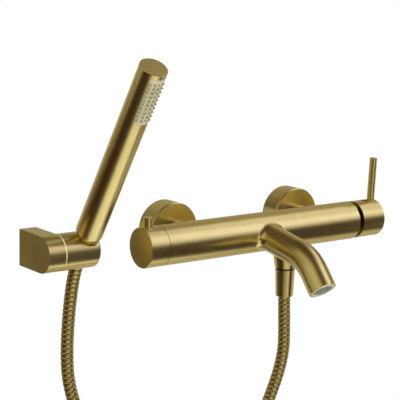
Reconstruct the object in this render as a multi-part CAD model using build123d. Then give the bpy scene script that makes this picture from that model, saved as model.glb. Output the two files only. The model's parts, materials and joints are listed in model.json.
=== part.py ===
from build123d import *
from dataclasses import dataclass
import math
import os

# Wall mounted bath mixer with a hand shower, a hose and a wall bracket.
# Millimetres. X runs along the mixer body, -Y points out of the wall, +Z is up.
# The origin lies in the wall plane, midway between the two inlet stubs.

# ---------------------------------------------------------------- clearances
RUNNING = 0.05          # radial clearance of a shaft in its hole
SLIP = 0.3              # gap between curved faces that move past each other
FIT = 0.05              # gap between a fixed piece and its seat
SEAT = 0.02             # gap between flat faces that slide on each other

# ---------------------------------------------------------------- mixer body
INLET_SPACING = 150.0   # centre to centre of the wall inlets
UNION_OFFSET = 10.0     # eccentricity of the S-unions, which lift the body
BODY_REACH = 65.0       # wall plane to body axis
BODY_D = 37.2
BODY_BORE_D = 30.0
BODY_LEFT = -123.5
BODY_RIGHT = 106.0
BODY_CHAMFER = 1.4
NECK_D = 22.0
NECK_BORE_D = 16.0
NECK_COLLAR_D = 26.6
NECK_COLLAR_T = 2.5

SPOUT_X = -7.0
SPOUT_D = 26.0
SPOUT_BORE_D = 20.5
SPOUT_SLOPE = 9.4       # degrees below level where it leaves the body
SPOUT_RUN = 56.5        # straight length from the body axis
SPOUT_BEND_R = 41.2
SPOUT_BEND = 39.9       # degrees of the downward bend
SPOUT_DROP = 18.7       # straight length after the bend
SPOUT_ROOT_R = 6.0      # fillet where the spout grows out of the body

BOSS_X = 25.5           # hose outlet boss under the body
BOSS_TOP_D = 26.6
BOSS_END_D = 19.8
BOSS_DROP = 38.3        # body axis to the end of the boss
BOSS_TOP_DROP = 17.0    # body axis to the plane where BOSS_TOP_D is measured

# ---------------------------------------------------------------- wall unions
STUB_D = 20.96          # G1/2 male stub that screws into the wall
STUB_LENGTH = 18.0
STUB_BORE_D = 14.0
STUB_COLLAR_D = 24.0    # shoulder of the stub at the wall plane
UNION_D = 26.2          # G3/4 male end that takes the union nut
UNION_BORE_D = 17.0
UNION_LIP = 11.1        # wall plane to the sealing face of the union
UNION_BACK = 2.2        # wall plane to the back of the sealing barrel
UNION_FLOOR = 4.0       # wall plane to the bottom of the barrel's bore
STUB_FRONT = 5.6        # wall plane to the front of the stub
STUB_FRONT_WALL = 0.8
GASKET_T = 2.0
NUT_ACROSS_FLATS = 30.0
NUT_LIP_T = 2.0
NUT_THREAD_LENGTH = 10.0
FLANGE_D = 54.2
FLANGE_DEPTH = 20.2
FLANGE_WALL = 1.8
FLANGE_FRONT = 2.0
FLANGE_BEVEL = 1.0
FLANGE_CLEAR = 0.2      # gap between the flange and the neck that passes through it

# ---------------------------------------------------------------- lever handle
CAP_GAP = 4.3           # body end to handle cap
CAP_D = 36.4
CAP_LENGTH = 27.7
CAP_SKIRT_BORE_D = 32.0
CAP_SKIRT_DEPTH = 6.0
CAP_BEVEL = 0.8
STEM_WIDTH = 6.0
STEM_SOCKET_CLEAR = 0.1
LEVER_D = 7.4
LEVER_LENGTH = 42.0     # proud of the cap
LEVER_FROM_END = 4.1    # lever centre to the outer face of the cap
LEVER_LEAN = 2.5        # degrees
LEVER_STUD_D = 5.0
LEVER_STUD_LENGTH = 7.0
LEVER_SEAT_DEPTH = 1.6
PIN_EDGE_R = 0.5        # rounded tops of the lever and the diverter pin
CAP_SCREW_FROM_END = 13.2
CAP_SCREW_HEAD_D = 7.8
CAP_SCREW_HEAD_T = 3.6
CAP_SCREW_RECESS = 2.0
CAP_SCREW_SHANK_D = 5.0
CAP_SCREW_SOCKET = 4.0
CAP_SCREW_SOCKET_DEPTH = 2.4
NECK_RING_D = 24.4      # dark ring seen in the gap
NECK_RING_BORE_D = 19.4
NECK_RING_PROUD = 5.4
NECK_RING_DEPTH = 9.0    # body end to the inner face of the ring
NECK_RING_BEVEL = 0.8
NECK_RING_STEP = 0.6     # body end to the shoulder of the ring

CARTRIDGE_D = 28.0
CARTRIDGE_WALL = 2.4
CARTRIDGE_LENGTH = 22.0  # inner face to the shoulder under its nut
CARTRIDGE_TOP_T = 2.0
CARTRIDGE_COLLAR_D = 18.0
CARTRIDGE_COLLAR_LENGTH = 10.0
ROTOR_SHAFT_D = 15.0
ROTOR_INSET = 1.0        # end of the collar to the end of the rotor
TILT_INSET = 3.0         # end of the rotor to the tilt axis
FIXED_DISC_T = 4.0
MOVING_DISC_T = 3.0
MOVING_DISC_D = 17.0
MOVING_DISC_OFFSET = -1.5
CARRIER_T = 3.4
CARRIER_POCKET_DEPTH = 2.6
POCKET_BELOW = 0.1       # extra room under the stem in the carrier's pocket
POCKET_ABOVE = 0.5       # extra room above it, where the tilting stem rises
ROTOR_CLEAR = 0.12       # carrier to rotor
DISC_PORT_D = 4.2
DISC_PORT_RADIUS = 5.4   # disc axis to the middle of each port
MOVING_DISC_HOLLOW = 1.6
STEM_TIP_GAP = 0.8       # tip of the stem to the floor of the carrier's pocket
STEM_TIP_LENGTH = 3.0
STEM_TIP_D = 5.2
PIVOT_PIN_INSET = 0.4
ROTOR_FLANGE_GAP = 0.1
PIVOT_PIN_D = 2.5
FLOW_TILT = 10.0        # degrees from shut to full flow
CARTRIDGE_NUT_T = 5.0
NUT_SLOT = 3.0
NUT_SLOT_DEPTH = 2.0

# ---------------------------------------------------------------- diverter
KNOB_GAP = 0.5
KNOB_LENGTH = 19.7
KNOB_BORE_D = 31.0
KNOB_BORE_DEPTH = 8.0
KNOB_BEVEL = 0.5
KNOB_PIN_D = 8.6
KNOB_PIN_FROM_FACE = 7.2
KNOB_PIN_PROUD = 9.0
KNOB_PIN_STUD_D = 5.0
KNOB_PIN_STUD_LENGTH = 5.0
KNOB_PIN_SEAT_DEPTH = 1.2
SPINDLE_D = 8.0
SPINDLE_IN_KNOB = 15.0   # right face of the knob to the end of the spindle
SPINDLE_SCREW_D = 4.0
SPINDLE_FLAT = 1.2       # depth of the flat that the grub screw bears on
GRUB_SOCKET = 2.0
GRUB_SOCKET_DEPTH = 2.0
DIVERTER_D = 28.4
DIVERTER_WALL = 2.4
DIVERTER_LENGTH = 30.0   # inner face to the shoulder under its nut
DIVERTER_COLLAR_D = 13.0
DIVERTER_COLLAR_LENGTH = 8.0
DIVERTER_DISC_T = 3.5
DIVERTER_PORT_D = 7.0
DIVERTER_PORT_RADIUS = 6.0
DIVERTER_HUB_GAP = 0.1
DIVERTER_NUT_T = 4.5
DIVERTER_NUT_DEPTH = 1.0  # body end to the nut

# ---------------------------------------------------------------- water core
CORE_TUBE_D = 12.0
CORE_TUBE_BORE_D = 9.0
CORE_LAND_T = 4.0
CORE_FROM_DIVERTER = 4.0
CORE_FROM_CARTRIDGE = 2.0
CORE_PARTITIONS = (-58.0, 8.0)   # first face of the two sealing lands between the end ones
SEAL_SECTION_D = 1.8
SEAL_GROOVE = 2.2
CORE_PORT_D = 6.0

# ---------------------------------------------------------------- aerator
AERATOR_D = 22.0
AERATOR_BORE_D = 18.4
AERATOR_LENGTH = 7.0
AERATOR_PROUD = 0.6
AERATOR_LIP_T = 0.6      # inward lip at the back of the housing ring
AERATOR_LIP_WIDTH = 1.2
AERATOR_SEAL_T = 1.0
SCREEN_RECESS = 0.9
SCREEN_HOLE = 1.5
SCREEN_PITCH = 2.1

# ---------------------------------------------------------------- hose and its ends
HOSE_D = 12.1
HOSE_NUT_LENGTH = 26.7
HOSE_NUT_BORE_D = 12.8
HOSE_NUT_EDGE = 0.5
HOSE_THREAD_LENGTH = 10.0
NIPPLE_COLLAR_T = 1.6
NIPPLE_COLLAR_D = 16.6
NIPPLE_BORE_D = 10.0
NIPPLE_INSIDE = 9.0
HOSE_WASHER_T = 1.6
FERRULE_COLLAR_T = 2.0
FERRULE_BORE_D = 8.0
FERRULE_LENGTH = 7.0
STUD_REACH = HOSE_THREAD_LENGTH - HOSE_WASHER_T - FERRULE_COLLAR_T


@dataclass(frozen=True)
class HoseEnd:
    """Diameters of a conical hose nut and of the stud that it screws onto."""

    nut_top_d: float
    nut_end_d: float
    stud_d: float

    @property
    def thread_d(self):
        return self.stud_d + 4 * FIT


MIXER_END = HoseEnd(nut_top_d=19.0, nut_end_d=16.8, stud_d=16.2)
HANDSET_END = HoseEnd(nut_top_d=16.4, nut_end_d=15.0, stud_d=13.6)

# The hose route: straight runs joined by arcs, from the bracket down to the coil and from the
# coil up to the mixer. The coil hangs below, between the two legs, in the XZ plane.
COIL_CENTRE = (-79.0, -38.0, -240.0)
COIL_RADIUS = 67.1      # to the middle of the hose
COIL_PITCH = 12.5       # from turn to turn along Y
COIL_TURNS = 2          # full turns besides the arc between the two tangents
COIL_LEAN = 18.0        # degrees of the legs from vertical where they join the coil
COIL_STUB = 42.0        # straight hose on each tangent that belongs to the coil
COIL_SKIN = 0.25        # the coil's outer shape stands this far outside the turns
COIL_LAST_RUN = 36.0
COIL_SWEEP = 360 * COIL_TURNS + 180 - 2 * COIL_LEAN
COIL_HALF_WIDTH = COIL_PITCH * COIL_SWEEP / 720  # coil centre to the middle of its outer turn
TIE_WIDTH = 10.0
TIE_T = 1.4

# ---------------------------------------------------------------- hand shower
BRACKET_REACH = 36.4    # wall plane to swivel axis
BRACKET_Z = 8.4
HANDSET_X = -187.2
HANDSET_TILT = 31.8     # degrees forward from vertical
HANDSET_D = 24.8
HANDSET_WALL = 1.6
HANDSET_TOP = 203.6     # swivel axis to the flat top, along the handset
HANDSET_END_AT = 15.0   # swivel axis to the flat lower end
HANDSET_END_D = 19.4
HANDSET_TAPER_AT = 20.8  # swivel axis to the start of the tapered lower end
HANDSET_TAPER_R = 2.0
HANDSET_EDGE = 0.3
HANDSET_SHOULDER = 2.0   # start of the taper to the shoulder inside, where the base sits
HANDSET_TOP_T = 2.0
HANDSET_BASE_TOP = 34.0
WATERWAY_D = 14.0
WATERWAY_WALL = 1.4
WATERWAY_TOP_GAP = 1.0
WATERWAY_FOOT_T = 2.0
SPRAY_FROM_TOP = 4.4     # flat top to the upper edge of the spray window
SPRAY_LENGTH = 46.8
SPRAY_HALF_ANGLE = 36.0
SPRAY_PLATE_T = 1.6
SPRAY_LIP = 1.2          # the plate reaches this far past its window behind the shell
SPRAY_LIP_ANGLE = 8.0
SPRAY_ROWS = 10
SPRAY_ROW_MARGIN = 4.7   # edge of the window to the middle of the first row
SPRAY_COLUMNS = 4
SPRAY_COLUMN_ANGLE = 20.0
NOZZLE_D = 1.9
NOZZLE_TAPER = 0.25
NOZZLE_ROOT = 0.9
NOZZLE_PROUD = 1.5

# ---------------------------------------------------------------- wall bracket
SWIVEL_D = 33.4
SWIVEL_RIGHT = -177.6
SWIVEL_LEFT = -213.0
SWIVEL_EDGE_R = 2.0
SEAT_FLOOR = 13.1        # swivel axis to the round face under the handset
SEAT_D = 21.6
RING_T = 1.0
RING_D = 32.8
BLOCK_LEFT = -231.0
BLOCK_WALL = 3.0
STUD_D = 8.0
STUD_DEPTH = 11.0
STUD_INSIDE = 9.5
STUD_END_GAP = 0.5
PIVOT_NUT_AF = 13.0
PIVOT_NUT_T = 5.0
WAVE_WASHER_T = 1.2
WAVE_WASHER_D = 15.0
PLATE_T = 3.0
PLATE_HEIGHT = 26.0
TONGUE_DEPTH = 10.0
TONGUE_HEIGHT = 6.0
WALL_SCREW_D = 4.0
WALL_SCREW_SPACING = 16.0
BLOCK_GRUB_D = 4.0
BLOCK_GRUB_INSET = 0.4

# ---------------------------------------------------------------- derived places
BODY_AXIS = (0.0, -BODY_REACH, UNION_OFFSET)
BODY_R = BODY_D / 2
BORE_R = BODY_BORE_D / 2
INLETS = {"left": -INLET_SPACING / 2, "right": INLET_SPACING / 2}
KNOB_RIGHT = BODY_LEFT - KNOB_GAP
KNOB_LEFT = KNOB_RIGHT - KNOB_LENGTH
CAP_LEFT = BODY_RIGHT + CAP_GAP
CAP_RIGHT = CAP_LEFT + CAP_LENGTH
NECK_RING_START = BODY_RIGHT - NECK_RING_DEPTH
CARTRIDGE_SHOULDER = NECK_RING_START - CARTRIDGE_NUT_T
CARTRIDGE_START = CARTRIDGE_SHOULDER - CARTRIDGE_LENGTH
CARTRIDGE_COLLAR_END = CARTRIDGE_SHOULDER + CARTRIDGE_COLLAR_LENGTH
ROTOR_END = CARTRIDGE_COLLAR_END - ROTOR_INSET
TILT_X = ROTOR_END - TILT_INSET
DIVERTER_NEAR = BODY_LEFT + DIVERTER_NUT_DEPTH + DIVERTER_NUT_T
DIVERTER_FAR = DIVERTER_NEAR + DIVERTER_LENGTH
DIVERTER_COLLAR_END = DIVERTER_NEAR - DIVERTER_COLLAR_LENGTH
SPINDLE_END = KNOB_RIGHT - SPINDLE_IN_KNOB
CORE_START = DIVERTER_FAR + CORE_FROM_DIVERTER
CORE_END = CARTRIDGE_START - CORE_FROM_CARTRIDGE
CORE_LANDS = (CORE_START, *CORE_PARTITIONS, CORE_END - CORE_LAND_T)
OUT = Vector(0, -1, 0)
UP = Vector(0, 0, 1)
RIGHT = Vector(1, 0, 0)


# ---------------------------------------------------------------- helpers
def turned(outline, origin, along):
    """Solid of revolution from (distance along, radius) corners about an axis."""
    face = make_face(Polyline(*[(r, 0, s) for s, r in outline], close=True))
    return Plane(origin=origin, z_dir=along) * revolve(face, Axis.Z)


def tube(origin, along, start, end, outer_d, inner_d=0.0):
    """Plain round bar, or a tube where inner_d is given, between two distances."""
    inner = inner_d / 2
    return turned([(start, inner), (end, inner), (end, outer_d / 2), (start, outer_d / 2)], origin, along)


def hexagon(origin, along, start, end, across_flats):
    """Six-sided bar between two distances along an axis."""
    section = RegularPolygon(across_flats / 2, 6, major_radius=False)
    return Plane(origin=origin, z_dir=along) * (Pos(0, 0, start) * extrude(section, end - start))


def box_between(low, high):
    """Upright block between its lowest and highest corners."""
    size = [b - a for a, b in zip(low, high)]
    centre = [(a + b) / 2 for a, b in zip(low, high)]
    return Pos(*centre) * Box(*size)


def save(node, shape):
    """Write one node's solids to its own STEP file."""
    shape.label = node
    export_step(shape, f"parts/{node}.step")


def on_body(x):
    """Point of the body axis at x."""
    return (x, BODY_AXIS[1], BODY_AXIS[2])


# ---------------------------------------------------------------- mixer body
def spout_path():
    """Centreline of the spout and its two end directions: straight, bend, straight."""
    a, b = math.radians(SPOUT_SLOPE), math.radians(SPOUT_SLOPE + SPOUT_BEND)
    start = Vector(*on_body(SPOUT_X))
    first = Vector(0, -math.cos(a), -math.sin(a))
    last = Vector(0, -math.cos(b), -math.sin(b))
    bend_start = start + first * SPOUT_RUN
    run = Line(start, bend_start)
    centre = bend_start + Vector(0, math.sin(a), -math.cos(a)) * SPOUT_BEND_R
    half = (a + b) / 2
    bend_middle = centre - Vector(0, math.sin(half), -math.cos(half)) * SPOUT_BEND_R
    bend_end = centre - Vector(0, math.sin(b), -math.cos(b)) * SPOUT_BEND_R
    tip = bend_end + last * SPOUT_DROP
    bend = ThreePointArc(bend_start, bend_middle, bend_end)
    drop = Line(bend_end, tip)
    return Wire([run.edge(), bend.edge(), drop.edge()]), first, last, tip


SPOUT_PATH, SPOUT_FIRST, SPOUT_LAST, SPOUT_TIP = spout_path()


def swept_spout(diameter):
    """Round bar of one diameter along the spout's centreline."""
    section = Plane(origin=on_body(SPOUT_X), z_dir=SPOUT_FIRST) * Circle(diameter / 2)
    return sweep(section, SPOUT_PATH)


def mixer_body():
    """One brass casting: barrel, spout, hose boss and the two inlet necks."""
    barrel = tube(on_body(0), RIGHT, BODY_LEFT, BODY_RIGHT, BODY_D)
    end_rim = barrel.edges().filter_by(GeomType.CIRCLE).sort_by(Axis.X)[-1]
    barrel = chamfer(end_rim, BODY_CHAMFER)
    casting = barrel + swept_spout(SPOUT_D)
    root = [e for e in casting.edges().filter_by(GeomType.BSPLINE)]
    casting = fillet(root, SPOUT_ROOT_R)
    slope = (BOSS_TOP_D - BOSS_END_D) / 2 / (BOSS_DROP - BOSS_TOP_DROP)
    boss_start = BODY_R * 0.5
    boss_start_r = BOSS_TOP_D / 2 + slope * (BOSS_TOP_DROP - boss_start)
    boss = turned(
        [(boss_start, 0), (BOSS_DROP, 0), (BOSS_DROP, BOSS_END_D / 2), (boss_start, boss_start_r)],
        on_body(BOSS_X), -UP)
    casting += boss
    neck_end = BODY_REACH - UNION_LIP - GASKET_T
    for x in INLETS.values():
        casting += tube(on_body(x), -OUT, BODY_R * 0.5, neck_end, NECK_D)
        casting += tube(on_body(x), -OUT, neck_end - NECK_COLLAR_T, neck_end, NECK_COLLAR_D)
    casting -= tube(on_body(0), RIGHT, BODY_LEFT - 1, BODY_RIGHT + 1, BODY_BORE_D)
    for x in INLETS.values():
        casting -= tube(on_body(x), -OUT, 0, neck_end + 1, NECK_BORE_D)
    casting -= swept_spout(SPOUT_BORE_D)
    aerator_seat = AERATOR_LENGTH - AERATOR_PROUD
    casting -= tube(SPOUT_TIP, -SPOUT_LAST, -1, aerator_seat, AERATOR_D + 2 * FIT)
    casting -= tube(on_body(BOSS_X), -UP, 0, BOSS_DROP + 1, NIPPLE_BORE_D)
    nipple_top = BOSS_DROP - NIPPLE_INSIDE
    casting -= tube(on_body(BOSS_X), -UP, nipple_top, BOSS_DROP + 1, MIXER_END.stud_d + 2 * FIT)
    return casting


def aerator():
    """Housing ring, rubber seal and flow grid in the mouth of the spout."""
    seat = AERATOR_LENGTH - AERATOR_PROUD
    lip_end = seat - AERATOR_SEAL_T
    lip_start = lip_end - AERATOR_LIP_T
    bore = AERATOR_BORE_D / 2
    throat = bore - AERATOR_LIP_WIDTH
    ring = turned(
        [(-AERATOR_PROUD, bore), (lip_start, bore), (lip_start, throat), (lip_end, throat),
         (lip_end, AERATOR_D / 2), (-AERATOR_PROUD, AERATOR_D / 2)],
        SPOUT_TIP, -SPOUT_LAST)
    seal = tube(SPOUT_TIP, -SPOUT_LAST, lip_end + SEAT, seat - SEAT, AERATOR_D - 2 * SLIP, 2 * throat)
    top = SCREEN_RECESS - AERATOR_PROUD
    grid = tube(SPOUT_TIP, -SPOUT_LAST, top, lip_start - SEAT, AERATOR_BORE_D - 2 * FIT)
    plane = Plane(origin=SPOUT_TIP, z_dir=-SPOUT_LAST)
    reach = throat
    count = int(reach / SCREEN_PITCH)
    holes = []
    for i in range(-count, count + 1):
        for j in range(-count, count + 1):
            u, v = i * SCREEN_PITCH, j * SCREEN_PITCH
            if math.hypot(abs(u) + SCREEN_HOLE / 2, abs(v) + SCREEN_HOLE / 2) < reach:
                holes.append(Pos(u, v, 0) * Box(SCREEN_HOLE, SCREEN_HOLE, 3 * AERATOR_LENGTH))
    grid -= plane * Compound(holes)
    return ring, seal, grid


# ---------------------------------------------------------------- wall unions
def s_union(x):
    """Eccentric union: a wall stub and a larger sealing barrel whose axes are offset."""
    wall_axis = (x, 0, 0)
    body_axis = (x, 0, UNION_OFFSET)
    union = tube(body_axis, OUT, UNION_BACK, UNION_LIP, UNION_D)
    union += tube(wall_axis, OUT, 0, STUB_FRONT, STUB_COLLAR_D)
    union += tube(wall_axis, OUT, -STUB_LENGTH, 0, STUB_D)
    union -= tube(body_axis, OUT, UNION_FLOOR, UNION_LIP + 1, UNION_BORE_D)
    union -= tube(wall_axis, OUT, -STUB_LENGTH - 1, STUB_FRONT - STUB_FRONT_WALL, STUB_BORE_D)
    return union


def union_nut(x):
    """Hexagon nut that pulls the neck collar onto the S-union."""
    axis = (x, 0, UNION_OFFSET)
    collar_back = UNION_LIP + GASKET_T
    lip = collar_back + NECK_COLLAR_T + FIT
    end = lip + NUT_LIP_T
    nut = hexagon(axis, OUT, end - NUT_THREAD_LENGTH, end, NUT_ACROSS_FLATS)
    nut -= tube(axis, OUT, end - NUT_THREAD_LENGTH - 1, lip, NECK_COLLAR_D + 2 * FIT)
    nut -= tube(axis, OUT, lip - 1, end + 1, NECK_D + 4 * FIT)
    return nut


def union_gasket(x):
    """Fibre washer between the S-union and the neck."""
    return tube((x, 0, UNION_OFFSET), OUT, UNION_LIP, UNION_LIP + GASKET_T, UNION_D - 2 * SLIP, NECK_BORE_D)


def wall_flange(x):
    """Deep round cover with a flat front that hides the union."""
    inner = FLANGE_D / 2 - FLANGE_WALL
    hole = NECK_D / 2 + FLANGE_CLEAR
    outline = [
        (0, FLANGE_D / 2), (0, inner), (FLANGE_DEPTH - FLANGE_FRONT, inner),
        (FLANGE_DEPTH - FLANGE_FRONT, hole), (FLANGE_DEPTH, hole),
        (FLANGE_DEPTH, FLANGE_D / 2 - FLANGE_BEVEL), (FLANGE_DEPTH - FLANGE_BEVEL, FLANGE_D / 2)]
    return turned(outline, (x, 0, UNION_OFFSET), OUT)


# ---------------------------------------------------------------- lever side
def stem_slot(clear):
    """Wedge that the stem sweeps inside the rotor between shut and full flow."""
    half = STEM_WIDTH / 2 + clear
    t = math.radians(FLOW_TILT)
    inner = TILT_X - (CARTRIDGE_START + FIXED_DISC_T + MOVING_DISC_T) + 1
    outer = ROTOR_END - TILT_X + 1
    corners = [
        (-inner, -half), (-inner, inner * math.tan(t) + half / math.cos(t)), (0, half / math.cos(t)),
        (outer, half), (outer, -outer * math.tan(t) - half / math.cos(t)), (0, -half / math.cos(t))]
    face = make_face(Polyline(*[(x, 0, z) for x, z in corners], close=True))
    wedge = extrude(face, STEM_WIDTH / 2 + clear, both=True, dir=(0, 1, 0))
    return Pos(*on_body(TILT_X)) * wedge


def cartridge():
    """Ceramic disc cartridge: housing, rotor, pin, stem, carrier and the two discs."""
    outer = CARTRIDGE_D / 2
    inner = outer - CARTRIDGE_WALL
    collar_bore = ROTOR_SHAFT_D / 2 + RUNNING
    top = CARTRIDGE_SHOULDER - CARTRIDGE_TOP_T
    housing = turned(
        [(CARTRIDGE_START, inner), (top, inner), (top, collar_bore), (CARTRIDGE_COLLAR_END, collar_bore),
         (CARTRIDGE_COLLAR_END, CARTRIDGE_COLLAR_D / 2), (CARTRIDGE_SHOULDER, CARTRIDGE_COLLAR_D / 2),
         (CARTRIDGE_SHOULDER, outer), (CARTRIDGE_START, outer)],
        on_body(0), RIGHT)
    disc_end = CARTRIDGE_START + FIXED_DISC_T
    fixed = tube(on_body(0), RIGHT, CARTRIDGE_START, disc_end, 2 * (inner - FIT))
    for k in range(3):
        turn = math.radians(120 * k + 90)
        fixed -= Pos(0, DISC_PORT_RADIUS * math.cos(turn), DISC_PORT_RADIUS * math.sin(turn)) * tube(
            on_body(0), RIGHT, CARTRIDGE_START - 1, disc_end + 1, DISC_PORT_D)
    shifted = (0, BODY_AXIS[1], BODY_AXIS[2] + MOVING_DISC_OFFSET)
    moving_end = disc_end + SEAT + MOVING_DISC_T
    moving = tube(shifted, RIGHT, disc_end + SEAT, moving_end, MOVING_DISC_D)
    moving -= tube(on_body(0), RIGHT, disc_end - 1, disc_end + SEAT + MOVING_DISC_HOLLOW, 2 * DISC_PORT_D)
    carrier_end = moving_end + CARRIER_T
    carrier = tube(shifted, RIGHT, moving_end, carrier_end, MOVING_DISC_D)
    pocket = STEM_WIDTH / 2 + SLIP
    axis_x, axis_y, axis_z = on_body(0)
    carrier -= box_between(
        (carrier_end - CARRIER_POCKET_DEPTH, axis_y - pocket, axis_z - pocket - POCKET_BELOW),
        (carrier_end + 1, axis_y + pocket, axis_z + pocket + POCKET_ABOVE))
    rotor_start = carrier_end + ROTOR_CLEAR
    rotor = turned(
        [(rotor_start, 0), (ROTOR_END, 0), (ROTOR_END, ROTOR_SHAFT_D / 2),
         (top - ROTOR_FLANGE_GAP, ROTOR_SHAFT_D / 2), (top - ROTOR_FLANGE_GAP, inner - SLIP),
         (rotor_start, inner - SLIP)],
        on_body(0), RIGHT)
    rotor -= stem_slot(SLIP)
    rotor -= tube(on_body(TILT_X), OUT, -CARTRIDGE_D, CARTRIDGE_D, PIVOT_PIN_D + 2 * SEAT)
    pin_half = ROTOR_SHAFT_D / 2 - PIVOT_PIN_INSET
    pin = tube(on_body(TILT_X), OUT, -pin_half, pin_half, PIVOT_PIN_D)
    stem_start = carrier_end - CARRIER_POCKET_DEPTH + STEM_TIP_GAP
    stem_end = CAP_RIGHT - CAP_SCREW_FROM_END + CAP_SCREW_SHANK_D
    half = STEM_WIDTH / 2
    stem = box_between((stem_start, axis_y - half, axis_z - half), (stem_end, axis_y + half, axis_z + half))
    stem -= tube(on_body(0), RIGHT, stem_start - 1, stem_start + STEM_TIP_LENGTH, 4 * STEM_WIDTH, STEM_TIP_D)
    stem -= tube(on_body(TILT_X), OUT, -CARTRIDGE_D, CARTRIDGE_D, PIVOT_PIN_D + 2 * RUNNING)
    return housing, fixed, moving, carrier, rotor, pin, stem


def cartridge_nut():
    """Slotted brass ring that clamps the cartridge in the body."""
    start = CARTRIDGE_SHOULDER
    end = start + CARTRIDGE_NUT_T
    nut = tube(on_body(0), RIGHT, start, end, BODY_BORE_D - 4 * FIT, CARTRIDGE_COLLAR_D + 4 * FIT)
    x, y, z = on_body(end)
    slot = box_between(
        (x - NUT_SLOT_DEPTH, y - NUT_SLOT / 2, z - BORE_R), (x + 1, y + NUT_SLOT / 2, z + BORE_R))
    return nut - slot


def neck_ring():
    """Dark ring that closes the body behind the handle cap."""
    start = NECK_RING_START
    end = BODY_RIGHT + NECK_RING_PROUD
    outline = [
        (start, NECK_RING_BORE_D / 2), (end, NECK_RING_BORE_D / 2), (end, NECK_RING_D / 2 - NECK_RING_BEVEL),
        (end - NECK_RING_BEVEL, NECK_RING_D / 2), (BODY_RIGHT - NECK_RING_STEP, NECK_RING_D / 2),
        (BODY_RIGHT - NECK_RING_STEP, BORE_R - FIT), (start, BORE_R - FIT)]
    return turned(outline, on_body(0), RIGHT)


def handle():
    """Handle cap, its screw and the slim lever."""
    r = CAP_D / 2
    skirt = CAP_SKIRT_BORE_D / 2
    cap = turned(
        [(CAP_LEFT, skirt), (CAP_LEFT + CAP_SKIRT_DEPTH, skirt), (CAP_LEFT + CAP_SKIRT_DEPTH, 0),
         (CAP_RIGHT, 0), (CAP_RIGHT, r - CAP_BEVEL), (CAP_RIGHT - CAP_BEVEL, r), (CAP_LEFT, r)],
        on_body(0), RIGHT)
    axis_x, axis_y, axis_z = on_body(0)
    half = STEM_WIDTH / 2 + STEM_SOCKET_CLEAR
    stem_end = CAP_RIGHT - CAP_SCREW_FROM_END + CAP_SCREW_SHANK_D
    cap -= box_between(
        (CAP_LEFT, axis_y - half, axis_z - half),
        (stem_end + STEM_SOCKET_CLEAR, axis_y + half, axis_z + half))
    screw_axis = on_body(CAP_RIGHT - CAP_SCREW_FROM_END)
    head_top = r - CAP_SCREW_RECESS
    head_low = head_top - CAP_SCREW_HEAD_T
    cap -= tube(screw_axis, UP, head_low - SEAT, r + 1, CAP_SCREW_HEAD_D + 2 * FIT)
    cap -= tube(screw_axis, UP, 0, head_low + 1, CAP_SCREW_SHANK_D + 2 * FIT)
    screw = tube(screw_axis, UP, head_low, head_top, CAP_SCREW_HEAD_D)
    screw += tube(screw_axis, UP, STEM_WIDTH / 2 + SEAT, head_low, CAP_SCREW_SHANK_D)
    screw -= hexagon(screw_axis, UP, head_top - CAP_SCREW_SOCKET_DEPTH, head_top + 1, CAP_SCREW_SOCKET)
    lean = math.radians(LEVER_LEAN)
    along = Vector(math.sin(lean), 0, math.cos(lean))
    foot = on_body(CAP_RIGHT - LEVER_FROM_END - r * math.tan(lean))
    top = r / math.cos(lean) + LEVER_LENGTH
    seat = r - LEVER_SEAT_DEPTH
    lever = tube(foot, along, seat, top, LEVER_D)
    lever = fillet(lever.edges().filter_by(GeomType.CIRCLE).sort_by(Axis.Z)[-1], PIN_EDGE_R)
    lever += tube(foot, along, seat - LEVER_STUD_LENGTH, seat + 1, LEVER_STUD_D)
    cap -= tube(foot, along, seat - SEAT, r + 4, LEVER_D + 2 * FIT)
    cap -= tube(foot, along, seat - LEVER_STUD_LENGTH - 1, seat + 1, LEVER_STUD_D + 2 * FIT)
    return cap, screw, lever


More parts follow.
